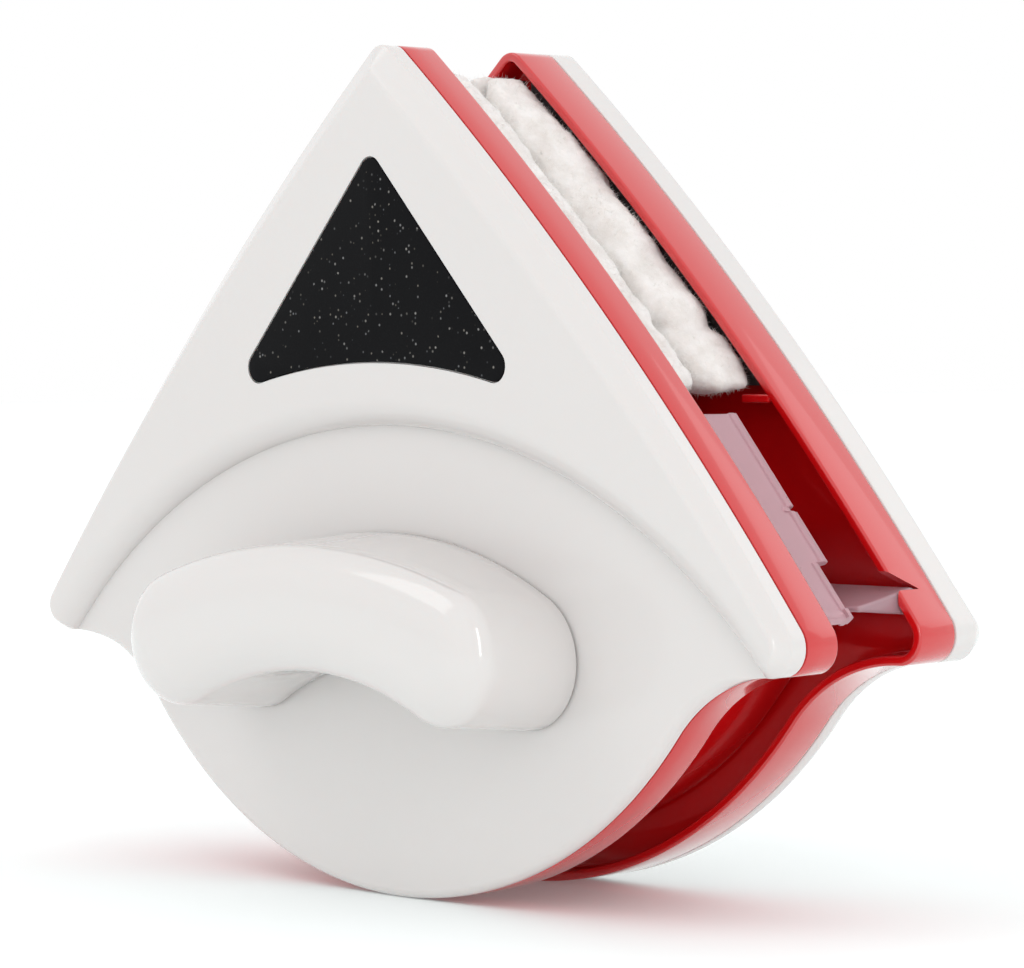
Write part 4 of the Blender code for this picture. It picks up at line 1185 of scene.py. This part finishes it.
def fluff(obj, seed):
    """Lumps and a wrinkle on the pad: noise along its normals, one pull-in, and a flat glass side."""
    subdivide = obj.modifiers.new("finer", "SUBSURF")
    subdivide.levels = 1
    subdivide.render_levels = 1
    apply_all(obj)
    points = points_of(obj.data).astype(float)
    lumps = sum(size * wavy(points, seed + i, scale) for i, (size, scale) in enumerate(LUMPS))
    wrinkle = WRINKLE_Z + WRINKLE_SLANT * (np.abs(points[:, 0]) - 0.05)
    lumps -= WRINKLE_DEPTH * np.exp(-(((points[:, 2] - wrinkle) / WRINKLE_WIDTH) ** 2))
    points += points_of(obj.data, "normal") * lumps[:, None]
    points[:, 1] = np.minimum(points[:, 1], -GLASS_GAP)
    move_points(obj.data, points)
    obj.data.shade_smooth()


def fibre_faces():
    """Corners of one fibre's triangles: its foot, two bands between three rings of three, and its point."""
    faces = [(0, 2, 1)]
    for here in range(3):
        after = (here + 1) % 3
        for ring in (0, 3):
            faces.append((ring + here, ring + after, ring + 3 + after))
            faces.append((ring + here, ring + 3 + after, ring + 3 + here))
        faces.append((6 + here, 6 + after, 9))
    return np.array(faces)


def fibre_fuzz(obj, name, seed):
    """Short loose fibres on the pad's surface: thin three-sided spikes that curl as they leave it."""
    source = np.random.default_rng(seed)
    mesh = obj.data
    mesh.calc_loop_triangles()
    triangles = np.empty(len(mesh.loop_triangles) * 3, np.int32)
    mesh.loop_triangles.foreach_get("vertices", triangles)
    corners = points_of(mesh).astype(float)[triangles.reshape(-1, 3)]
    cross = np.cross(corners[:, 1] - corners[:, 0], corners[:, 2] - corners[:, 0])
    area = np.linalg.norm(cross, axis=1)
    chosen = source.choice(len(area), FIBRE_COUNT, p=area / area.sum())
    a, b = source.uniform(size=(2, FIBRE_COUNT, 1))
    a, b = np.where(a + b > 1, 1 - a, a), np.where(a + b > 1, 1 - b, b)
    spot = corners[chosen]
    root = spot[:, 0] * (1 - a - b) + spot[:, 1] * a + spot[:, 2] * b
    way = cross[chosen] / area[chosen][:, None] + source.normal(size=(FIBRE_COUNT, 3)) * 0.55
    way /= np.linalg.norm(way, axis=1)[:, None]
    curl = source.normal(size=(FIBRE_COUNT, 3)) * 0.45
    reach = FIBRE_LENGTH * source.uniform(0.35, 1.0, (FIBRE_COUNT, 1))
    across = np.cross(way, source.normal(size=(FIBRE_COUNT, 3)))
    across /= np.linalg.norm(across, axis=1)[:, None]
    beside = np.cross(way, across)
    rings = []
    for step, thick in FIBRE_RINGS:
        centre = root + (way + curl * step * step) * reach * step
        for angle in np.radians([0.0, 120.0, 240.0]):
            rings.append(centre + (across * math.cos(angle) + beside * math.sin(angle)) * FIBRE_WIDTH * thick)
    rings.append(root + (way + curl) * reach)
    points = np.stack(rings, 1)
    starts = np.arange(FIBRE_COUNT)[:, None, None] * points.shape[1]
    faces = (fibre_faces() + starts).reshape(-1, 3)
    points = points.reshape(-1, 3)
    points[:, 1] = np.minimum(points[:, 1], -GLASS_GAP * 0.5)
    tufts = new_mesh(name, points, faces)
    tufts.shade_smooth()
    return linked(name, tufts)


# ---------------------------------------------------------------- stage

CAMERA_PLACE = (0.4803, -0.4512, 0.0903)
CAMERA_RIGHT = (0.6919, 0.7218, -0.0117)
CAMERA_UP = (-0.0175, 0.0329, 0.9993)
CAMERA_LENS = 139.35
FLOOR_TURN = -46.0
FLOOR_DROP = 0.00005


def make_floor():
    """A wide pale floor that curls up far behind the object: flat, then a parabola."""
    x, y = np.meshgrid(np.linspace(-6.0, 6.0, 49), np.linspace(-3.0, 9.0, 97))
    rise = np.clip(y - 4.0, 0, None) ** 2 * 0.12 - FLOOR_DROP
    turn = math.radians(FLOOR_TURN)
    cos, sin = math.cos(turn), math.sin(turn)
    rows = np.stack([x * cos - y * sin, x * sin + y * cos, rise], 2)
    floor = mesh_piece("studio_floor", [sheet(rows, False)], capped=False)
    tree, shader = new_material("studio_floor")
    cloud = noise(tree, object_place(tree), 3.0, 2.0)["Fac"]
    values = {
        "Base Color": blend(tree, cloud, (0.89, 0.93, 0.93, 1.0), (0.91, 0.95, 0.95, 1.0)),
        "Emission Color": (1.0, 1.0, 1.0, 1.0),
        "Emission Strength": 0.10,
        "Roughness": 0.9,
        "Specular IOR Level": 0.1,
    }
    fill(tree, shader, values)
    floor.data.materials.append(bpy.data.materials["studio_floor"])


def area_light(name, place, target, size, power):
    """A rectangular soft light that looks at a point."""
    lamp = bpy.data.lights.new(name, "AREA")
    lamp.shape = "RECTANGLE"
    lamp.size, lamp.size_y = size
    lamp.energy = power
    obj = linked(name, lamp)
    obj.location = place
    obj.rotation_euler = (Vector(target) - Vector(place)).to_track_quat("-Z", "Y").to_euler()


def make_lights():
    """An even white surround, a soft key, a narrow strip for the highlights and a soft light behind."""
    world = bpy.data.worlds.new("studio")
    bpy.context.scene.world = world
    world.use_nodes = True
    background = world.node_tree.nodes["Background"]
    fill(world.node_tree, background, {"Color": (1.0, 1.0, 1.0, 1.0), "Strength": 1.0})
    area_light("key", (-0.6, -0.8, 1.2), (0.0, 0.0, 0.06), (0.7, 0.7), 1.6)
    area_light("strip", (0.95, -0.55, 0.45), (0.06, 0.01, 0.07), (0.12, 0.8), 2.0)
    area_light("back", (0.6, 1.2, 0.9), (0.0, 0.0, 0.06), (0.8, 0.8), 1.0)


def make_camera():
    """A camera from its place and its right and up directions."""
    lens = bpy.data.cameras.new("camera")
    lens.lens = CAMERA_LENS
    lens.sensor_width = 36.0
    lens.clip_start = 0.01
    lens.clip_end = 60.0
    camera = linked("camera", lens)
    right = Vector(CAMERA_RIGHT).normalized()
    back = right.cross(Vector(CAMERA_UP)).normalized()
    turn = Matrix((right, back.cross(right), back)).transposed().to_4x4()
    camera.matrix_world = Matrix.Translation(CAMERA_PLACE) @ turn
    bpy.context.scene.camera = camera


# ---------------------------------------------------------------- operators

INNER_PARTS = {
    "woven_hooks": ("pad_tape_left", "pad_tape_right"),
    "nickel_plate": ("lower_magnet_left", "lower_magnet_right", "centre_magnet"),
    "plain_steel": (
        "lower_yoke",
        "centre_yoke",
        "bottom_blade_rod",
        "side_blade_rod",
        "frame_screw_top",
        "frame_screw_left",
        "frame_screw_right",
        "grip_screw_left",
        "grip_screw_right",
    ),
}


class WIPER_OT_materials(bpy.types.Operator):
    """Make the materials and give the carried-over nodes theirs"""

    bl_idname = "wiper.materials"
    bl_label = "Materials"

    def execute(self, context):
        make_materials()
        for material, parts in INNER_PARTS.items():
            for name in [half + "_" + part for half in HALVES for part in parts]:
                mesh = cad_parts[name].data
                mesh.materials.clear()
                mesh.materials.append(bpy.data.materials[material])
        return {"FINISHED"}


class WIPER_OT_covers(bpy.types.Operator):
    """Build the white covers and their black panels"""

    bl_idname = "wiper.covers"
    bl_label = "Covers"

    def execute(self, context):
        both_halves(make_cover(), "cover_shell", "glossy_white", thicker=True)
        both_halves(make_inlay(), "front_inlay", "speckled_black", thicker=True)
        return {"FINISHED"}


class WIPER_OT_grips(bpy.types.Operator):
    """Build the finger grips"""

    bl_idname = "wiper.grips"
    bl_label = "Grips"

    def execute(self, context):
        both_halves(make_grip(), "grip", "white_grip", thicker=True)
        return {"FINISHED"}


class WIPER_OT_frames(bpy.types.Operator):
    """Build the red frames, magnet housings and centre decks"""

    bl_idname = "wiper.frames"
    bl_label = "Frames"

    def execute(self, context):
        both_halves(make_frame(), "base_frame", "glossy_red", thicker=True)
        for half in HALVES:
            for part, width in (("magnet_housing", 0.0005), ("centre_deck", 0.0006)):
                name = half + "_" + part
                settle(bevelled_copy(name, width), half + "_half", name, "glossy_red")
        return {"FINISHED"}


class WIPER_OT_blades(bpy.types.Operator):
    """Build the silicone wiper blades"""

    bl_idname = "wiper.blades"
    bl_label = "Blades"

    def execute(self, context):
        both_halves(make_bottom_blade(), "bottom_blade", "milky_silicone", "bottom_blade")
        both_halves(make_side_blade(), "side_blade", "milky_silicone", "side_blade")
        return {"FINISHED"}


class WIPER_OT_pads(bpy.types.Operator):
    """Fill and nap the cotton pads"""

    bl_idname = "wiper.pads"
    bl_label = "Cotton pads"

    def execute(self, context):
        for side, seed in (("left", 11), ("right", 23)):
            pad = pad_source(side)
            swell(pad)
            fluff(pad, seed)
            pads = both_halves(pad, "cotton_pad_" + side, "cotton_nap")
            fuzz = fibre_fuzz(pad, "near_pad_fibres_" + side, seed + 5)
            far_fuzz = turned_copy(fuzz, "far_pad_fibres_" + side)
            for half, piece, fibres in zip(HALVES, pads, (fuzz, far_fuzz)):
                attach(fibres, half + "_half")
                fibres.data.materials.append(bpy.data.materials["cotton_fibre"])
        return {"FINISHED"}


class WIPER_OT_stage(bpy.types.Operator):
    """Set the pale floor, the soft lights and the camera"""

    bl_idname = "wiper.stage"
    bl_label = "Stage"

    def execute(self, context):
        make_floor()
        make_lights()
        make_camera()
        context.scene.view_settings.view_transform = "Standard"
        return {"FINISHED"}


class WIPER_PT_panel(bpy.types.Panel):
    """Sizes, colours and one button for each group of pieces"""

    bl_idname = "WIPER_PT_panel"
    bl_label = "Window Wiper"
    bl_space_type = "VIEW_3D"
    bl_region_type = "UI"
    bl_category = "Window Wiper"

    def draw(self, context):
        layout = self.layout
        for group in (context.scene.wiper_shape, context.scene.wiper_colours):
            box = layout.box()
            for name in group.__annotations__:
                box.prop(group, name)
        for operator in OPERATORS:
            layout.operator(operator.bl_idname)


OPERATORS = (
    WIPER_OT_materials,
    WIPER_OT_covers,
    WIPER_OT_grips,
    WIPER_OT_frames,
    WIPER_OT_blades,
    WIPER_OT_pads,
    WIPER_OT_stage,
)
CLASSES = (WiperShape, WiperColours, *OPERATORS, WIPER_PT_panel)


def register():
    """Registers the classes and hangs the sizes and colours on the scene."""
    for cls in CLASSES:
        bpy.utils.register_class(cls)
    bpy.types.Scene.wiper_shape = bpy.props.PointerProperty(type=WiperShape)
    bpy.types.Scene.wiper_colours = bpy.props.PointerProperty(type=WiperColours)


def unregister():
    """Takes the sizes, the colours and the classes away again."""
    del bpy.types.Scene.wiper_colours
    del bpy.types.Scene.wiper_shape
    for cls in reversed(CLASSES):
        bpy.utils.unregister_class(cls)


def main():
    """Builds everything in order."""
    register()
    bpy.ops.wiper.materials()
    bpy.ops.wiper.covers()
    bpy.ops.wiper.grips()
    bpy.ops.wiper.frames()
    bpy.ops.wiper.blades()
    bpy.ops.wiper.pads()
    bpy.ops.wiper.stage()


if __name__ == "__main__":
    main()
